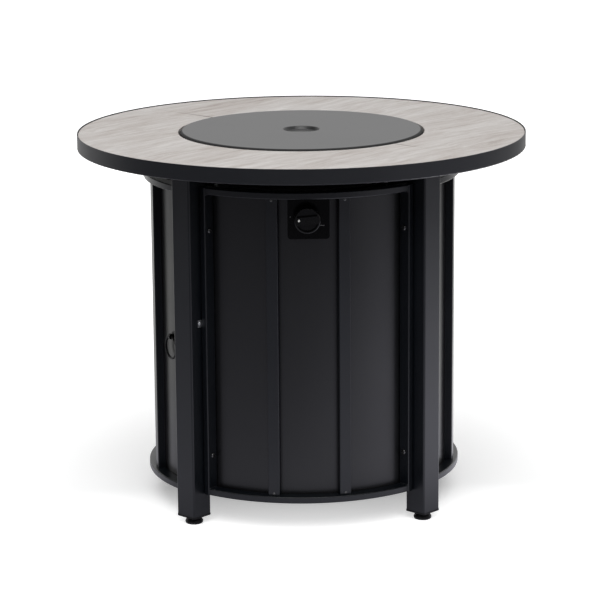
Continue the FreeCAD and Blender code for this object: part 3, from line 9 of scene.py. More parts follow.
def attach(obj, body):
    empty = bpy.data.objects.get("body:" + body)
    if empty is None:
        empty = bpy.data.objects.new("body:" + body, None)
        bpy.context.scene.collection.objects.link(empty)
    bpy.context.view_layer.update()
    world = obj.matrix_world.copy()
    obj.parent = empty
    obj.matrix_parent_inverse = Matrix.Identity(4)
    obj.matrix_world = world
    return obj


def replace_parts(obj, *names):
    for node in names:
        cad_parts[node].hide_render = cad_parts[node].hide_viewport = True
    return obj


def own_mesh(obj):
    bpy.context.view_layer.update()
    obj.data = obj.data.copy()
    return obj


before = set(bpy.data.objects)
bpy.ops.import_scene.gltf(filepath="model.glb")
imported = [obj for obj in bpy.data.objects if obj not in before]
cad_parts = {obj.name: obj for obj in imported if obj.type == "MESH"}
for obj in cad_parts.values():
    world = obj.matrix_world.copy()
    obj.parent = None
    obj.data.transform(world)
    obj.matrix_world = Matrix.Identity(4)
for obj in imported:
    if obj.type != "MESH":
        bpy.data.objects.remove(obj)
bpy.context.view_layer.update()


# The camera stands 4.4 m in front of the table with a long lens, 13 degrees above
# level, two degrees to the left and rolled by under half a degree.
def stand_camera():
    aim = Vector((0, 0, 0.3350))
    distance = 4.4327
    rise, swing, roll = 0.2307, -0.0381, -0.0076
    picture_pixels, focal_pixels = 600, 2563.9
    right_pixels, up_pixels = -2.61, 0.28
    turn = Matrix.Rotation(swing, 3, "Z")
    right = turn @ Vector((1, 0, 0))
    ahead = turn @ Vector((0, math.cos(rise), -math.sin(rise)))
    up = right.cross(ahead)
    rolled_right = math.cos(roll) * right + math.sin(roll) * up
    rolled_up = math.cos(roll) * up - math.sin(roll) * right
    data = bpy.data.cameras.new("camera")
    data.sensor_width = 36
    data.lens = 36 * focal_pixels / picture_pixels
    data.shift_x = right_pixels / picture_pixels
    data.shift_y = up_pixels / picture_pixels
    camera = bpy.data.objects.new("camera", data)
    axes = Matrix((rolled_right, rolled_up, -ahead)).transposed()
    camera.matrix_world = Matrix.Translation(aim - ahead * distance) @ axes.to_4x4()
    bpy.context.scene.collection.objects.link(camera)
    bpy.context.scene.camera = camera


stand_camera()


# A plain white studio: a wide matte floor, a white surround for the camera, and large
# soft boxes overhead, in front and at both sides, so that dark curved metal shows its
# shape. In the metal, the surround is darker at the front than at the back.
def add_node(tree, kind, inputs=None, **settings):
    """A new node with its settings. An input given as an output socket is linked."""
    item = tree.nodes.new(kind)
    for name, value in settings.items():
        setattr(item, name, value)
    for name, value in (inputs or {}).items():
        if isinstance(value, bpy.types.NodeSocket):
            tree.links.new(value, item.inputs[name])
        else:
            item.inputs[name].default_value = value
    return item


def calculate(tree, operation, *values, **settings):
    """The result of one sum on the values."""
    inputs = dict(enumerate(values))
    return add_node(tree, "ShaderNodeMath", inputs, operation=operation, **settings).outputs[0]


def measured(tree, operation, *vectors):
    """The length, the distance or the dot product of the vectors."""
    inputs = dict(enumerate(vectors))
    return add_node(tree, "ShaderNodeVectorMath", inputs, operation=operation).outputs["Value"]


def ramped(tree, value, start, end, low=0.0, high=1.0, curve="LINEAR"):
    """Low up to the start, high from the end on, and a ramp between them."""
    limits = {"Value": value, "From Min": start, "From Max": end, "To Min": low, "To Max": high}
    return add_node(tree, "ShaderNodeMapRange", limits, interpolation_type=curve).outputs[0]


def scaled(tree, color, factor):
    """The colour times the factor."""
    inputs = {0: color, "Scale": factor}
    return add_node(tree, "ShaderNodeVectorMath", inputs, operation="SCALE").outputs[0]


def blended(tree, share, first, second):
    """The first colour, passing into the second as the share goes from 0 to 1."""
    inputs = {0: share, 6: first, 7: second}
    return add_node(tree, "ShaderNodeMix", inputs, data_type="RGBA").outputs[2]


def set_surround():
    """White to the camera and even light on the table. What metal mirrors of it grows from
    dark at the front to white at the back, by the dot product with a way to the back."""
    world = bpy.data.worlds.new("studio")
    world.use_nodes = True
    bpy.context.scene.world = world
    tree = world.node_tree
    tree.nodes.clear()
    facing = add_node(tree, "ShaderNodeTexCoord").outputs["Generated"]
    sweep = measured(tree, "DOT_PRODUCT", facing, (0.35, 0.94, 0.0))
    in_metal = ramped(tree, sweep, -0.30, 0.85, low=0.08, high=0.99, curve="SMOOTHSTEP")
    path = add_node(tree, "ShaderNodeLightPath").outputs
    mirrored = calculate(tree, "MAXIMUM", path["Is Glossy Ray"], path["Is Transmission Ray"])
    even_light = 0.32
    level = add_node(tree, "ShaderNodeMix", {0: mirrored, 2: even_light, 3: in_metal}).outputs[0]
    level = calculate(tree, "MAXIMUM", path["Is Camera Ray"], level)
    white = add_node(tree, "ShaderNodeBackground", {"Color": (1, 1, 1, 1), "Strength": level})
    add_node(tree, "ShaderNodeOutputWorld", {"Surface": white.outputs[0]})


def white_floor():
    """Matte white that keeps the table's shadow. To the camera it glows as well, less near
    the table, which paints a soft shade round it, and more in front of it, a painted pool
    of light there. In metal it shows a painted reflection, a glow of its own: that fades
    with distance, adds a painted pool of light at the right and a strip at the back, is
    dimmed under the table as painted shadow, and is a little cooler off the strip. To
    other rays its colour is darker toward the front left, painted shade on the light that
    it sends back."""
    material = bpy.data.materials.new("white_floor")
    material.use_nodes = True
    tree = material.node_tree
    tree.nodes.clear()
    path = add_node(tree, "ShaderNodeLightPath").outputs
    mirrored = calculate(tree, "MAXIMUM", path["Is Glossy Ray"], path["Is Transmission Ray"])
    place = add_node(tree, "ShaderNodeTexCoord").outputs["Object"]
    across, back, _ = add_node(tree, "ShaderNodeSeparateXYZ", {0: place}).outputs
    distance = measured(tree, "LENGTH", place)

    # Painted shade: to rays other than the camera's, the floor's colour darkens toward the front left.
    front_left = measured(tree, "DOT_PRODUCT", place, (-0.50, -0.87, 0.0))
    painted_bounce_shade = ramped(tree, front_left, 0.5, 2.2, low=1.0, high=0.22, curve="SMOOTHSTEP")
    painted_bounce_shade = calculate(tree, "MAXIMUM", painted_bounce_shade, path["Is Camera Ray"])
    matte = add_node(tree, "ShaderNodeBsdfDiffuse", {"Color": scaled(tree, (0.88, 0.88, 0.88), painted_bounce_shade)})
    # Painted shade and painted light to the camera: less glow near the table, more in front of it.
    glow = ramped(tree, distance, 0.4, 1.6, low=0.30, high=0.80)
    toward = ramped(tree, back, 0.0, -0.24, high=0.42)
    glow = calculate(tree, "ADD", glow, toward)
    glow = calculate(tree, "MULTIPLY", glow, path["Is Camera Ray"])
    glowing = add_node(tree, "ShaderNodeEmission", {"Color": (1, 1, 1, 1), "Strength": glow})
    direct = add_node(tree, "ShaderNodeAddShader", {0: matte.outputs[0], 1: glowing.outputs[0]})

    # Painted reflection, seen only in metal: a painted pool of light at the right, a painted strip of light
    # at the back, and painted shadow under the table.
    fading = ramped(tree, distance, 0.3, 2.6, low=0.87, high=0.24)
    off_pool = measured(tree, "DISTANCE", place, (1.2, -0.2, 0.0))
    pool = ramped(tree, off_pool, 0.2, 1.9, low=1.2, high=0.0, curve="SMOOTHSTEP")
    aside = calculate(tree, "ABSOLUTE", across)
    narrow = ramped(tree, aside, 1.7, 2.8, low=1.0, high=0.0, curve="SMOOTHSTEP")
    strip = calculate(tree, "MULTIPLY", ramped(tree, back, -0.1, 2.2, high=1.3), narrow)
    dimmed = ramped(tree, distance, 0.2, 0.5, low=0.30)
    cool = ramped(tree, strip, 0.0, 0.35, low=1.0, high=0.0)
    level = calculate(tree, "ADD", pool, strip)
    level = calculate(tree, "ADD", level, fading)
    level = calculate(tree, "MULTIPLY", level, dimmed)
    tint = blended(tree, cool, (1.0, 1.0, 0.985, 1), (0.975, 0.965, 1.09, 1))
    in_metal = add_node(tree, "ShaderNodeEmission", {"Color": tint, "Strength": level})
    shown = {0: mirrored, 1: direct.outputs[0], 2: in_metal.outputs[0]}
    mix = add_node(tree, "ShaderNodeMixShader", shown)
    add_node(tree, "ShaderNodeOutputMaterial", {"Surface": mix.outputs[0]})
    return material


def lay_floor():
    half = 15.0
    corners = [(-half, -half, 0), (half, -half, 0), (half, half, 0), (-half, half, 0)]
    mesh = bpy.data.meshes.new("floor")
    mesh.from_pydata(corners, [], [(0, 1, 2, 3)])
    mesh.materials.append(white_floor())
    floor = bpy.data.objects.new("floor", mesh)
    bpy.context.scene.collection.objects.link(floor)


def hang_soft_boxes():
    """Each box has a place, a point that it faces, its width and height, and its power."""
    boxes = {
        "overhead_soft_box": ((0, -0.4, 5.2), (0, -0.2, 0), 7.0, 7.0, 180.0),
        "front_soft_box": ((0, -3.6, 3.6), (0, 0, 0.2), 4.0, 2.4, 115.0),
        "left_soft_box": ((-3.8, 2.3, 0.9), (0, 0.2, 0.3), 2.4, 1.6, 15.0),
        "right_soft_box": ((3.0, -2.4, 0.9), (0, 0, 0.5), 1.6, 1.2, 6.0),
    }
    for name, (place, target, width, height, power) in boxes.items():
        data = bpy.data.lights.new(name, "AREA")
        data.shape = "RECTANGLE"
        data.size = width
        data.size_y = height
        data.energy = power
        light = bpy.data.objects.new(name, data)
        facing = (Vector(target) - Vector(place)).to_track_quat("-Z", "Y")
        light.matrix_world = Matrix.Translation(place) @ facing.to_matrix().to_4x4()
        bpy.context.scene.collection.objects.link(light)


set_surround()
lay_floor()
hang_soft_boxes()
bpy.context.scene.view_settings.view_transform = "Standard"


# Legs: square steel tubes with a bolt plate on top, powder coated in satin black.
# The coating has a fine orange-peel skin and is a little uneven in its sheen.
def noise_at(tree, place, scale, detail, roughness=0.5):
    """Cloudy noise round a half. Its grain is about one over the scale, in metres."""
    inputs = {"Vector": place, "Scale": scale, "Detail": detail, "Roughness": roughness}
    return add_node(tree, "ShaderNodeTexNoise", inputs).outputs["Fac"]


def new_group(name, inputs, outputs):
    """An empty shader node group with the named inputs (with their defaults) and outputs."""
    group = bpy.data.node_groups.new(name, "ShaderNodeTree")
    for label, (kind, value) in inputs.items():
        socket = group.interface.new_socket(label, in_out="INPUT", socket_type=f"NodeSocket{kind}")
        socket.default_value = value
    for label, kind in outputs.items():
        group.interface.new_socket(label, in_out="OUTPUT", socket_type=f"NodeSocket{kind}")
    return group, group.nodes.new("NodeGroupInput").outputs


def powder_coat_group():
    """Uneven colour, sheen and skin height: noise of 1.2 mm and 0.4 mm for the skin, and of
    90 mm and 0.4 mm, six parts to four, for the mottle in colour and sheen."""
    group, given = new_group(
        "powder_coat",
        {"Color": ("Color", (0.02, 0.02, 0.02, 1)), "Roughness": ("Float", 0.5), "Mottle": ("Float", 0.12)},
        {"Color": "Color", "Roughness": "Float", "Height": "Float"})
    place = add_node(group, "ShaderNodeTexCoord").outputs["Object"]
    cloud = noise_at(group, place, 11.0, 3.0)
    skin = noise_at(group, place, 850.0, 2.0)
    grit = noise_at(group, place, 2600.0, 1.0)
    drift = ramped(group, cloud, 0.3, 0.7, low=-1.0)
    speck = ramped(group, grit, 0.35, 0.65, low=-1.0)
    uneven = calculate(group, "MULTIPLY", drift, 0.6)
    uneven = calculate(group, "MULTIPLY_ADD", speck, 0.4, uneven)
    gain = calculate(group, "MULTIPLY_ADD", uneven, given["Mottle"], 1.0)
    color = scaled(group, given["Color"], gain)
    spread = calculate(group, "MULTIPLY", given["Mottle"], 0.4)
    sheen = calculate(group, "MULTIPLY_ADD", uneven, spread, given["Roughness"], use_clamp=True)
    height = calculate(group, "MULTIPLY_ADD", grit, 0.35, skin)
    add_node(group, "NodeGroupOutput", {"Color": color, "Roughness": sheen, "Height": height})
    return group


def new_material(name, **sockets):
    """A material with plain values on its Principled shader's own sockets."""
    material = bpy.data.materials.new(name)
    material.use_nodes = True
    shader = material.node_tree.nodes["Principled BSDF"]
    for label, value in sockets.items():
        shader.inputs[label.replace("_", " ")].default_value = value
    return material, material.node_tree, shader


def bumped(tree, shader, height, strength, depth):
    """The height shows as relief, with the depth in metres from low to high."""
    bump = add_node(tree, "ShaderNodeBump", {"Strength": strength, "Distance": depth, "Height": height})
    tree.links.new(bump.outputs[0], shader.inputs["Normal"])


def coated(name, color, roughness, mottle=0.12, skin=0.00004, **sockets):
    """A powder coated finish from the shared group."""
    material, tree, shader = new_material(name, **sockets)
    given = {"Color": (*color, 1), "Roughness": roughness, "Mottle": mottle}
    coat = add_node(tree, "ShaderNodeGroup", given, node_tree=powder_coat)
    tree.links.new(coat.outputs["Color"], shader.inputs["Base Color"])
    tree.links.new(coat.outputs["Roughness"], shader.inputs["Roughness"])
    bumped(tree, shader, coat.outputs["Height"], 0.7, skin)
    return material


def finish_nodes(material, *names):
    """The CAD nodes with these names get the material."""
    for name in names:
        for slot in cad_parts[name].material_slots:
            slot.material = material


powder_coat = powder_coat_group()
black_coat = coated("black_powder_coat", (0.0024, 0.0034, 0.0052), 0.34, Specular_IOR_Level=0.36)
finish_nodes(black_coat, "leg_front_left", "leg_front_right", "leg_rear_right", "leg_rear_left")


# End caps and feet: black moulded plastic with a fine matte grain. The caps are pushed
# into the tubes' ends, and each foot turns on a threaded stem.
def moulded_plastic_group():
    """Roughness and grain height: noise of 8 mm for the roughness, and cells of one over the
    grain, in metres, for the height."""
    group, given = new_group(
        "moulded_plastic",
        {"Roughness": ("Float", 0.5), "Grain": ("Float", 1400.0)},
        {"Roughness": "Float", "Height": "Float"})
    place = add_node(group, "ShaderNodeTexCoord").outputs["Object"]
    cells = add_node(group, "ShaderNodeTexVoronoi", {"Vector": place, "Scale": given["Grain"]})
    drift = calculate(group, "SUBTRACT", noise_at(group, place, 120.0, 3.0), 0.5)
    rough = calculate(group, "MULTIPLY_ADD", drift, 0.2, given["Roughness"], use_clamp=True)
    add_node(group, "NodeGroupOutput", {"Roughness": rough, "Height": cells.outputs["Distance"]})
    return group


def moulded(name, color, roughness, grain=1400.0, depth=0.00005, **sockets):
    """A moulded plastic finish from the shared group."""
    material, tree, shader = new_material(name, Base_Color=(*color, 1), **sockets)
    given = {"Roughness": roughness, "Grain": grain}
    grained = add_node(tree, "ShaderNodeGroup", given, node_tree=moulded_plastic)
    tree.links.new(grained.outputs["Roughness"], shader.inputs["Roughness"])
    bumped(tree, shader, grained.outputs["Height"], 0.6, depth)
    return material


moulded_plastic = moulded_plastic_group()
foot_plastic = moulded("foot_plastic", (0.0045, 0.0045, 0.005), 0.50, Specular_IOR_Level=0.2)
finish_nodes(foot_plastic, "leg_end_caps", "foot_front_left", "foot_front_right",
             "foot_rear_right", "foot_rear_left")


# Side panels: rolled square rails and upright tubes in the legs' black coat, with a
# curved sheet lapped behind and two folded slats riveted over it.
sheet_coat = coated("panel_sheet_coat", (0.0026, 0.0028, 0.0034), 0.33, mottle=0.10,
                    Specular_IOR_Level=0.38)
for panel in ("front", "right", "rear", "door"):
    finish_nodes(black_coat, f"{panel}_panel_frame", f"{panel}_panel_slats")
    finish_nodes(sheet_coat, f"{panel}_panel_sheet")


# Weld beads: each rail is welded to its upright in the corner of the window, a short
# rippled bead from the sheet to the outer face, under the same coat.
def new_mesh(name, grids):
    """Grids of points, each (rows, columns, 3), joined into one mesh with a quad between neighbours.

    A row of equal points closes a pole and a last column equal to the first closes a
    seam, once points in one place are merged. Normals then turn outwards. An edge that
    turns by more than 38 degrees stays crisp.
    """
    points, quads, first = [], [], 0
    for grid in grids:
        rows, columns = grid.shape[:2]
        index = first + np.arange(rows * columns).reshape(rows, columns)
        corners = [index[:-1, :-1], index[:-1, 1:], index[1:, 1:], index[1:, :-1]]
        quads.append(np.stack(corners, -1).reshape(-1, 4))
        points.append(grid.reshape(-1, 3))
        first += rows * columns
    mesh = bpy.data.meshes.new(name)
    mesh.from_pydata(np.concatenate(points).tolist(), [], np.concatenate(quads).tolist())
    shape = bmesh.new()
    shape.from_mesh(mesh)
    bmesh.ops.remove_doubles(shape, verts=shape.verts, dist=1e-6)
    bmesh.ops.recalc_face_normals(shape, faces=shape.faces)
    shape.to_mesh(mesh)
    shape.free()
    mesh.shade_smooth()
    mesh.set_sharp_from_angle(angle=math.radians(38))
    return mesh


def new_piece(name, grids, material, body):
    """An object from the grids, riding on the body, with its finish."""
    mesh = new_mesh(name, grids)
    mesh.materials.append(material)
    piece = bpy.data.objects.new(name, mesh)
    bpy.context.scene.collection.objects.link(piece)
    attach(piece, body)
    return piece


def from_leg(azimuth, side, out, aside, height):
    """The place, in metres, of a point given in millimetres: out along the radius at the
    azimuth, aside from it and up. With it come the ways out and aside there."""
    turn = np.radians(azimuth)
    radial = np.array([np.cos(turn), np.sin(turn), 0.0])
    across = side * np.array([-np.sin(turn), np.cos(turn), 0.0])
    return (out * radial + aside * across + np.array([0, 0, height])) / 1000, radial, across


def weld_bead(start, end):
    """A tube from start to end: its radius swells by a tenth with each ripple and closes
    with a quarter sine at both ends."""
    radius, ripples = 0.00135, 9
    up = np.array([0, 0, 1.0])
    ahead = (end - start) / np.linalg.norm(end - start)
    along = np.linspace(0, 1, 73)[:, None, None]
    round_it = np.linspace(0, 2 * np.pi, 15)[None, :, None]
    swell = 1 + 0.10 * np.abs(np.sin(np.pi * ripples * along))
    closing = np.clip(np.minimum(along, 1 - along) / 0.08, 0, 1)
    reach = radius * swell * np.sin(closing * np.pi / 2)
    ring = np.cos(round_it) * np.cross(ahead, up) + np.sin(round_it) * up
    return start + along * (end - start) + reach * ring


fixed_panels, door_panel, door_drop = (-90, 0, 90), (180,), 5.0
weld_start, weld_end, weld_aside, weld_heights = 250.4, 267.8, 32.8, (64.1, 563.7)
for name, body, panels, drop in (
        ("frame_welds", "table", fixed_panels, 0.0), ("door_frame_welds", "door", door_panel, door_drop)):
    beads = []
    for panel in panels:
        for side in (-1, 1):
            for height in weld_heights:
                start = from_leg(panel + 45 * side, -side, weld_start, weld_aside, height - drop)[0]
                end = from_leg(panel + 45 * side, -side, weld_end, weld_aside, height - drop)[0]
                beads.append(weld_bead(start, end))
    new_piece(name, beads, black_coat, body)


# Pop rivets: they hold the slats near both ends. A low dome with a hole in its middle,
# where the broken end of the steel pin shows, coated like the panel but painted a lighter
# gray, which stands in for their glints.
def set_out(grid, place, outward):
    """The grid, drawn about Z from the seat up, moved to the place with Z turned outward."""
    up = np.array([0, 0, 1.0])
    aside = np.cross(up, outward)
    return place + grid[..., :1] * aside + grid[..., 1:2] * up + grid[..., 2:] * outward


def revolved(profile, columns):
    """A profile of (radius, height) points carried round Z: one row for each point."""
    turn = np.linspace(0, 2 * np.pi, columns + 1)[None, :]
    radius, height = profile[:, :1], profile[:, 1:]
    return np.stack([radius * np.cos(turn), radius * np.sin(turn), height + 0 * turn], -1)


# Radius and height, from the hole's floor over the dome and the seat to the blind end.
rivet_profile = np.array([
    (0.0, 0.62), (0.30, 0.60), (0.46, 0.50), (0.50, 0.34), (0.56, 0.34), (0.58, 0.86), (0.66, 0.97),
    (0.90, 1.0), (1.30, 0.95), (1.70, 0.80), (2.05, 0.55), (2.24, 0.30), (2.30, 0.12), (2.30, 0.0),
    (1.2, 0.0), (1.2, -4.0), (0.0, -4.0)]) / 1000
rivet = revolved(rivet_profile, 24)
# Painted glint: the coat is a lighter gray than the panel's so that the rivets shine.
rivet_painted_glint_coat = coated("rivet_painted_glint_coat", (0.055, 0.055, 0.057), 0.30, mottle=0.05, skin=0.00002)
rivet_angle, slat_face, slat_heights = 13.1, 262.5, (66.8, 561.0)
for name, body, panels, drop, stood_for in (
        ("slat_pop_rivets", "table", fixed_panels, 0.0, "panel_slat_rivets"),
        ("door_pop_rivets", "door", door_panel, door_drop, "door_slat_rivets")):
    rivets = []
    for panel in panels:
        for azimuth in (panel - rivet_angle, panel + rivet_angle):
            for height in slat_heights:
                place, outward, _ = from_leg(azimuth, 1, slat_face, 0, height - drop)
                rivets.append(set_out(rivet, place, outward))
    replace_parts(new_piece(name, rivets, rivet_painted_glint_coat, body), stood_for)


# Frame screws: black pan head machine screws with a cross recess, through the panel
# uprights, the shelf's tabs and the hinge leaves into threaded inserts in the legs.
def pan_head(turned):
    """The head from its middle to the seat: radius and height follow a superellipse of 4.5 by
    2.6 mm, and the cross is sunk where x or y is small and neither is far out."""
    head_radius, head_height = 4.5, 2.6
    arm_half, arm_reach, arm_depth = 0.62, 2.45, 1.5
    side_slope, end_slope = 0.22, 0.45
    drop = np.linspace(0, np.pi / 2, 30)[:, None]
    turn = np.linspace(0, 2 * np.pi, 49)[None, :]
    radius = head_radius * np.sin(drop) ** 0.8 + 0 * turn
    height = head_height * np.cos(drop) ** 0.45 + 0 * turn
    x, y = radius * np.cos(turn), radius * np.sin(turn)
    along = np.abs(x * np.cos(turned) + y * np.sin(turned))
    across = np.abs(y * np.cos(turned) - x * np.sin(turned))
    in_arm = np.clip((arm_half - np.minimum(along, across)) / side_slope, 0, 1)
    in_reach = np.clip((arm_reach - np.maximum(along, across)) / end_slope, 0, 1)
    wall = in_arm * in_reach
    height = height - arm_depth * wall * wall * (3 - 2 * wall)
    return np.stack([x, y, height], -1) / 1000


def screw_shank(length, thread):
    """A rod of 2 mm radius down from the seat, which its first row closes. Its last part has a
    thread: the radius dips with a cosine of height less turn, 0.8 mm to the turn."""
    head_radius, rod_radius, pitch, run_in = 4.5, 2.0, 0.8, 0.4
    threaded = np.linspace(length - thread, length, 44)
    rows = np.concatenate([[0, 0, length - thread - run_in], threaded, [length]])[:, None]
    turn = np.linspace(0, 2 * np.pi, 21)[None, :]
    groove = 0.14 * (1 - np.cos(2 * np.pi * rows / pitch - turn)) * (rows > length - thread)
    radius = rod_radius - groove
    radius[0], radius[-1] = head_radius, 0.0
    return np.stack([radius * np.cos(turn), radius * np.sin(turn), -rows + 0 * turn], -1) / 1000


def screw(place, outward, length, thread):
    """A head, tightened to a turn of its own, and the shank behind it."""
    return [set_out(pan_head(tightened.uniform(0, 1.5)), place, outward),
            set_out(screw_shank(length, thread), place, outward)]


screw_black = coated("screw_black", (0.004, 0.004, 0.0044), 0.20, mottle=0.05, skin=0.00001,
                     Specular_IOR_Level=1.0)
tightened = np.random.default_rng(4)
upright_out, upright_face, upright_heights = 257.67, 32.5, (120.0, 502.7)
tab_face, tab_height = 250.65, 40.0
leaf_out, leaf_face, leaf_heights = 283.65, 21.5, (126.8, 152.8, 475.0, 501.0)
leg_azimuths = (45, 135, 225, 315)
screws = []
for panel in fixed_panels:
    for side in (-1, 1):
        for height in upright_heights:
            place, _, across = from_leg(panel + 45 * side, -side, upright_out, upright_face, height)
            screws += screw(place, across, 18.0, 7.0)
for azimuth in leg_azimuths:
    place, radial, _ = from_leg(azimuth, 1, tab_face, 0, tab_height)
    screws += screw(place, -radial, 7.0, 5.0)
for height in leaf_heights:
    place, _, across = from_leg(135, 1, leaf_out, leaf_face, height)
    screws += screw(place, across, 7.0, 5.0)
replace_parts(new_piece("pan_head_screws", screws, screw_black, "table"), "frame_screws")


# Table top: a steel deck on a support ring, both in the legs' coat, and round them a
# steel rim band in a duller one, whose lower edge is turned in.
rim_coat = coated("rim_coat", (0.0050, 0.0058, 0.0080), 0.48, Specular_IOR_Level=0.34)
finish_nodes(rim_coat, "top_rim")
finish_nodes(black_coat, "top_deck", "top_support_ring")


# Top boards: four quarters of wood-look tile with one grain right across the top,
# front left to back right: long soft streaks, darker bands and fine pale flecks. Their
# edges are darker along the two seams that stand open, most at their inner ends.
def wood_look_tile():
    """Three widths of noise, drawn out along a grain that a slow noise bends, add up to the
    brown, with flecks over it. The darkening lies by the distance from the seam."""
    material, tree, shader = new_material("wood_look_tile", Specular_IOR_Level=0.4)
    place = add_node(tree, "ShaderNodeTexCoord").outputs["Object"]
    turned = {"Vector": place, "Rotation": (0, 0, math.radians(-47))}
    along = add_node(tree, "ShaderNodeMapping", turned).outputs[0]
    wander = add_node(tree, "ShaderNodeTexNoise", {"Vector": along, "Scale": 5.0, "Detail": 2.0})
    moved = {0: wander.outputs["Color"], 1: (0.05, 0.05, 0.05), 2: along}
    bent = add_node(tree, "ShaderNodeVectorMath", moved, operation="MULTIPLY_ADD").outputs[0]
    layers = {
        "broad": ((2.2, 14.0, 14.0), 2.0),
        "streak": ((6.0, 75.0, 75.0), 4.0),
        "fine": ((16.0, 180.0, 180.0), 4.0),
        "fleck": ((110.0, 700.0, 700.0), 2.0),
    }
    grain = {}
    for label, (scale, detail) in layers.items():
        drawn_out = add_node(tree, "ShaderNodeMapping", {"Vector": bent, "Scale": scale}).outputs[0]
        grain[label] = noise_at(tree, drawn_out, 1.0, detail, roughness=0.6)
    mixed = 0.0
    for label, weight in (("broad", 0.36), ("streak", 0.30), ("fine", 0.34)):
        mixed = calculate(tree, "MULTIPLY_ADD", grain[label], weight, mixed)
    browns = add_node(tree, "ShaderNodeValToRGB", {"Fac": mixed})
    stops = [(0.36, (0.300, 0.258, 0.236)), (0.44, (0.395, 0.358, 0.335)),
             (0.52, (0.452, 0.425, 0.406)), (0.62, (0.530, 0.507, 0.490))]
    elements = browns.color_ramp.elements
    while len(elements) < len(stops):
        elements.new(0.5)
    for element, (position, color) in zip(elements, stops):
        element.position = position
        element.color = (*color, 1)
    pale = ramped(tree, grain["fleck"], 0.60, 0.72, high=0.45)
    color = blended(tree, pale, browns.outputs[0], (0.66, 0.645, 0.63, 1))

    back = add_node(tree, "ShaderNodeSeparateXYZ", {0: place}).outputs[1]
    diagonal = 0.7071
    off_seam = measured(tree, "DOT_PRODUCT", place, (diagonal, diagonal, 0.0))
    off_seam = calculate(tree, "ABSOLUTE", off_seam)
    near_seam = ramped(tree, off_seam, 0.0014, 0.0034, low=1.0, high=0.0)
    for way, reach, strength in ((1, 0.298, 0.75), (-1, 0.263, 0.50)):
        outward = calculate(tree, "MULTIPLY", back, way)
        fade = ramped(tree, outward, 0.155, reach * diagonal, low=strength, high=0.0)
        this_side = calculate(tree, "GREATER_THAN", outward, 0.0)
        seam_darkening = calculate(tree, "MULTIPLY", near_seam, fade)
        seam_darkening = calculate(tree, "MULTIPLY", seam_darkening, this_side)
        color = blended(tree, seam_darkening, color, (0.075, 0.052, 0.040, 1))
    tree.links.new(color, shader.inputs["Base Color"])
    rough = ramped(tree, grain["streak"], 0.3, 0.7, low=0.62, high=0.50)
    tree.links.new(rough, shader.inputs["Roughness"])
    bumped(tree, shader, grain["fine"], 0.5, 0.0001)
    return material


finish_nodes(wood_look_tile(), "top_board_front", "top_board_right", "top_board_rear", "top_board_left")


# Seam strips: a gray-brown jointing strip in each 1 mm seam between two boards, a little
# below the face and dished across its width, darker along the seams that stand open,
# most near the lid.
def jointing_strip(azimuth):
    """A bar along the seam: round its section the width and height follow a closed line whose
    top sags by the square of the place across. Both ends close on the section's middle."""
    inner, outer, middle_height = 210.6, 378.4, 627.5
    half_width, bottom, top, sag = 0.46, 623.2, 632.0, 0.2
    share = np.array([-1, -1, -0.5, 0, 0.5, 1, 1, -1])
    height = top - sag * (1 - share ** 2)
    height[[0, -2, -1]] = bottom
    reach = np.concatenate([[inner], np.linspace(inner, outer, 60), [outer]])[:, None]
    closing = np.ones_like(reach)
    closing[[0, -1]] = 0.0
    side = closing * half_width * share
    rise = middle_height + closing * (height - middle_height)
    turn = np.radians(azimuth)
    x = reach * np.cos(turn) - side * np.sin(turn)
    y = reach * np.sin(turn) + side * np.cos(turn)
    return np.stack([x, y, rise], -1) / 1000


def jointing():
    """Gray-brown, dark toward the back left and the front right, where the boards stand open
    and x times y is below zero, most near the lid. A cloudy noise breaks the darkening up."""
    material, tree, shader = new_material("seam_jointing", Specular_IOR_Level=0.2)
    place = add_node(tree, "ShaderNodeTexCoord").outputs["Object"]
    cloud = noise_at(tree, place, 35.0, 4.0)
    across, back, _ = add_node(tree, "ShaderNodeSeparateXYZ", {0: place}).outputs
    open_side = ramped(tree, calculate(tree, "MULTIPLY", across, back), 0.0, -0.01)
    from_floor = measured(tree, "LENGTH", place)
    near_lid = ramped(tree, from_floor, 0.672, 0.705, low=1.0, high=0.0, curve="SMOOTHSTEP")
    darkening = calculate(tree, "MULTIPLY", open_side, near_lid)
    darkening = calculate(tree, "MULTIPLY", darkening, ramped(tree, cloud, 0.25, 0.5))
    color = blended(tree, darkening, (0.43, 0.40, 0.375, 1), (0.020, 0.015, 0.012, 1))
    tree.links.new(color, shader.inputs["Base Color"])
    rough = ramped(tree, cloud, 0.0, 1.0, low=0.7, high=0.95)
    tree.links.new(rough, shader.inputs["Roughness"])
    return material


strips = [jointing_strip(azimuth) for azimuth in leg_azimuths]
new_piece("seam_strips", strips, jointing(), "table")


# Lid: a pressed steel disc in a smooth black satin coat, with a dished finger cup in
# the middle. Its rolled edge is duller and painted darker, painted shade for the dark ring
# of the gap round the lid.
def axis_distance(tree, parts):
    """The distance from the table's axis."""
    flat = add_node(tree, "ShaderNodeCombineXYZ", {"X": parts[0], "Y": parts[1]}).outputs[0]
    return measured(tree, "LENGTH", flat)


def dull_edge_with_painted_shade(material, start, end, roughness, color):
    """Past the start radius the coat turns dull and is painted darker as shade, fully so at the end radius.
    """
    tree = material.node_tree
    given = tree.nodes["Principled BSDF"].inputs
    place = add_node(tree, "ShaderNodeTexCoord").outputs["Object"]
    parts = add_node(tree, "ShaderNodeSeparateXYZ", {0: place}).outputs
    edge = ramped(tree, axis_distance(tree, parts), start, end)
    sheen = given["Roughness"].links[0].from_socket
    rough = add_node(tree, "ShaderNodeMix", {0: edge, 2: sheen, 3: roughness})
    tree.links.new(rough.outputs[0], given["Roughness"])
    # Painted shade: past the start radius the base colour turns to the given dark colour.
    shade = blended(tree, edge, given["Base Color"].links[0].from_socket, (*color, 1))
    tree.links.new(shade, given["Base Color"])


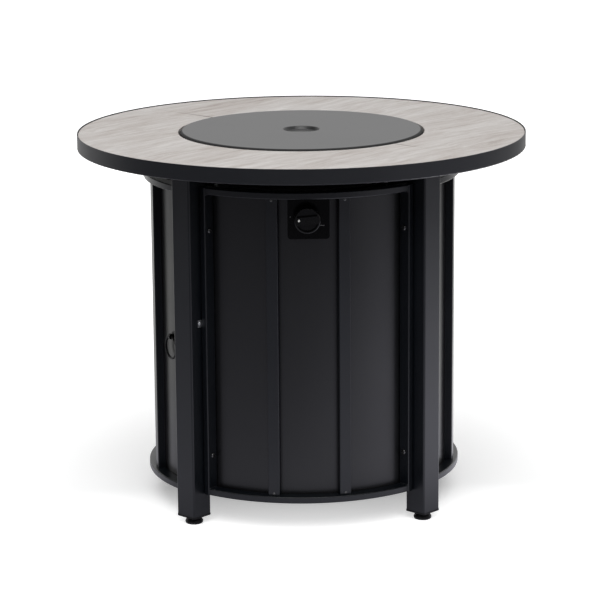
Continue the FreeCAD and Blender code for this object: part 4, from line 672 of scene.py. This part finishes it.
lid_coat = coated("lid_coat", (0.018, 0.018, 0.0185), 0.42, mottle=0.015, skin=0.00002,
                  Specular_IOR_Level=0.65)
dull_edge_with_painted_shade(lid_coat, start=0.2022, end=0.2036, roughness=0.85, color=(0.002, 0.002, 0.0022))
finish_nodes(lid_coat, "lid")


# Burner: a stainless ring with its gas ports over a pan in black heat paint, the mixing
# tube below, and the bracket with the spark electrode and the flame probe. The pan's black
# is also painted shade for the dark inside of the table. The gas
# parts are turned brass. Heat shield, bolts, washer and catch fittings are zinc plated.
def brushed_group():
    """Streaks of a circular brush about the table's axis: noise over radius and height only."""
    group, given = new_group(
        "brushed_steel",
        {"Roughness": ("Float", 0.32), "Streaks": ("Float", 900.0)},
        {"Roughness": "Float", "Height": "Float"})
    place = add_node(group, "ShaderNodeTexCoord").outputs["Object"]
    parts = add_node(group, "ShaderNodeSeparateXYZ", {0: place}).outputs
    section = add_node(group, "ShaderNodeCombineXYZ", {"X": axis_distance(group, parts), "Y": parts[2]})
    streak = noise_at(group, section.outputs[0], given["Streaks"], 3.0)
    drift = calculate(group, "SUBTRACT", streak, 0.5)
    rough = calculate(group, "MULTIPLY_ADD", drift, 0.3, given["Roughness"], use_clamp=True)
    add_node(group, "NodeGroupOutput", {"Roughness": rough, "Height": streak})
    return group


def brushed(name, color, roughness, streaks=900.0):
    """A bare metal finish from the shared brush group."""
    material, tree, shader = new_material(name, Base_Color=(*color, 1), Metallic=1.0)
    given = {"Roughness": roughness, "Streaks": streaks}
    brush = add_node(tree, "ShaderNodeGroup", given, node_tree=brushed_steel)
    tree.links.new(brush.outputs["Roughness"], shader.inputs["Roughness"])
    bumped(tree, shader, brush.outputs["Height"], 0.5, 0.00002)
    return material


brushed_steel = brushed_group()
stainless = brushed("burner_stainless", (0.56, 0.55, 0.53), 0.34)
finish_nodes(stainless, "burner_ring", "air_mixer", "flame_bracket", "flame_probe")
# The pan's black is heat paint and also painted shade for the dark inside of the table.
heat_paint_and_shade = coated("heat_paint_and_shade", (0.010, 0.010, 0.010), 0.70, Specular_IOR_Level=0.2)
finish_nodes(heat_paint_and_shade, "burner_pan")
brass = brushed("turned_brass", (0.66, 0.50, 0.24), 0.28, streaks=1500.0)
finish_nodes(brass, "gas_injector", "gas_pipe", "gas_valve", "valve_lock_nut", "valve_stem")
zinc = brushed("zinc_plate", (0.62, 0.63, 0.64), 0.36, streaks=260.0)
finish_nodes(zinc, "heat_shield", "leg_bolts", "push_washer", "catch_strike",
             "catch_backing_plate", "catch_bolt")
bright_zinc = brushed("bright_zinc", (0.88, 0.88, 0.88), 0.50, streaks=260.0)
finish_nodes(bright_zinc, "catch_strap")
ceramic = moulded("electrode_ceramic", (0.80, 0.79, 0.76), 0.25, grain=300.0, depth=0.00001,
                  Coat_Weight=0.4)
finish_nodes(ceramic, "spark_electrode")


# Control plate and knob: a glossy black plate on the front panel, and a moulded plastic
# knob with a grip bar on the valve's stem. The catch's housing is of the same plastic.
plate_gloss = moulded("control_plate_gloss", (0.0015, 0.0015, 0.0016), 0.14, grain=500.0,
                      depth=0.00001, Specular_IOR_Level=0.10)
finish_nodes(plate_gloss, "control_plate")
knob_plastic = moulded("knob_plastic", (0.0022, 0.0022, 0.0023), 0.19, grain=900.0,
                       depth=0.00001, Specular_IOR_Level=0.22)
finish_nodes(knob_plastic, "control_knob", "catch_housing")


# Knob dot: a dot filled with white paint, on the left end of the grip bar. It shows
# where the knob points, and turns with it.
def low_button(place, radius, height, stretch=0.0):
    """A round cushion that faces the front: its height falls off as the root of one less the
    sixth power of the radius. Stretch pulls its two halves apart into a bar."""
    turn = np.linspace(0, 2 * np.pi, 41)[None, :]
    share = np.concatenate([[0.0], np.sin(np.linspace(0.15, np.pi / 2, 9)), [0.0]])[:, None]
    rise = height * np.sqrt(np.clip(1 - share ** 6, 0, 1))
    rise[-1] = 0.0
    apart = stretch * np.sign(np.round(np.cos(turn), 6)) * (share > 0)
    x = place[0] + radius * share * np.cos(turn) + apart
    y = place[1] - rise + 0 * turn
    z = place[2] + radius * share * np.sin(turn)
    return np.stack([x, y, z], -1) / 1000


mark_white = moulded("mark_white", (0.72, 0.72, 0.70), 0.45, grain=2200.0, depth=0.00001)
dot = low_button((-15.7, -281.95, 532.1), radius=1.9, height=0.25)
new_piece("knob_dot", [dot], mark_white, "knob")


# Plate marks: a round OFF dot at the left of the knob and a short ON bar at its right,
# printed in gray on the plate.
mark_gray = moulded("mark_gray", (0.055, 0.055, 0.055), 0.40, grain=2200.0, depth=0.00001)
plate_face, print_height = -253.97, 0.10
off_dot = low_button((-28.6, plate_face, 533.0), radius=1.1, height=print_height)
on_bar = low_button((22.9, plate_face, 518.6), radius=0.75, height=print_height, stretch=3.0)
new_piece("plate_marks", [off_dot, on_bar], mark_gray, "table")


# Valve spring: a zinc plated compression spring with closed ends, between the valve's
# neck and the push washer.
def compression_spring(low, high, middle, coil_radius, wire_radius, turns):
    """A wire carried along a helix about Y. The pitch is tight over the first and last turn,
    and the wire closes to a point at both ends."""
    share = np.linspace(0, 1, 361)[:, None]
    wire = np.linspace(0, 2 * np.pi, 11)[None, :]
    thick = 2 * wire_radius
    travel = high - low - thick
    wound = [0, thick, travel - thick, travel]
    place = low + wire_radius + np.interp(turns * share, [0, 1, turns - 1, turns], wound)
    closing = np.sin(np.clip(np.minimum(share, 1 - share) / 0.01, 0, 1) * np.pi / 2)
    turn = 2 * np.pi * turns * share
    out = coil_radius + wire_radius * closing * np.cos(wire)
    x = middle[0] + out * np.cos(turn)
    y = place + wire_radius * closing * np.sin(wire)
    z = middle[1] + out * np.sin(turn)
    return np.stack([x, y, z], -1) / 1000


zinc_wire = brushed("zinc_wire", (0.62, 0.63, 0.64), 0.30, streaks=400.0)
coil = compression_spring(-251.5, -238.0, (-2.0, 531.5), coil_radius=4.4, wire_radius=0.45, turns=7.0)
spring = new_piece("coil_spring", [coil], zinc_wire, "table")
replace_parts(spring, "valve_spring")
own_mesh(spring)


# Tank shelf and hinges: folded sheet steel and steel pins in the legs' black coat. The
# ring pull, a wire ring in an eye on the door, has a blacker and duller one.
finish_nodes(black_coat, "tank_shelf", "hinge_leg_leaves", "hinge_door_leaves", "hinge_pins")
pull_coat = coated("pull_coat", (0.0016, 0.0016, 0.0018), 0.42, mottle=0.08, skin=0.00001,
                   Specular_IOR_Level=0.12)
finish_nodes(pull_coat, "door_pull_bracket", "door_pull_ring")
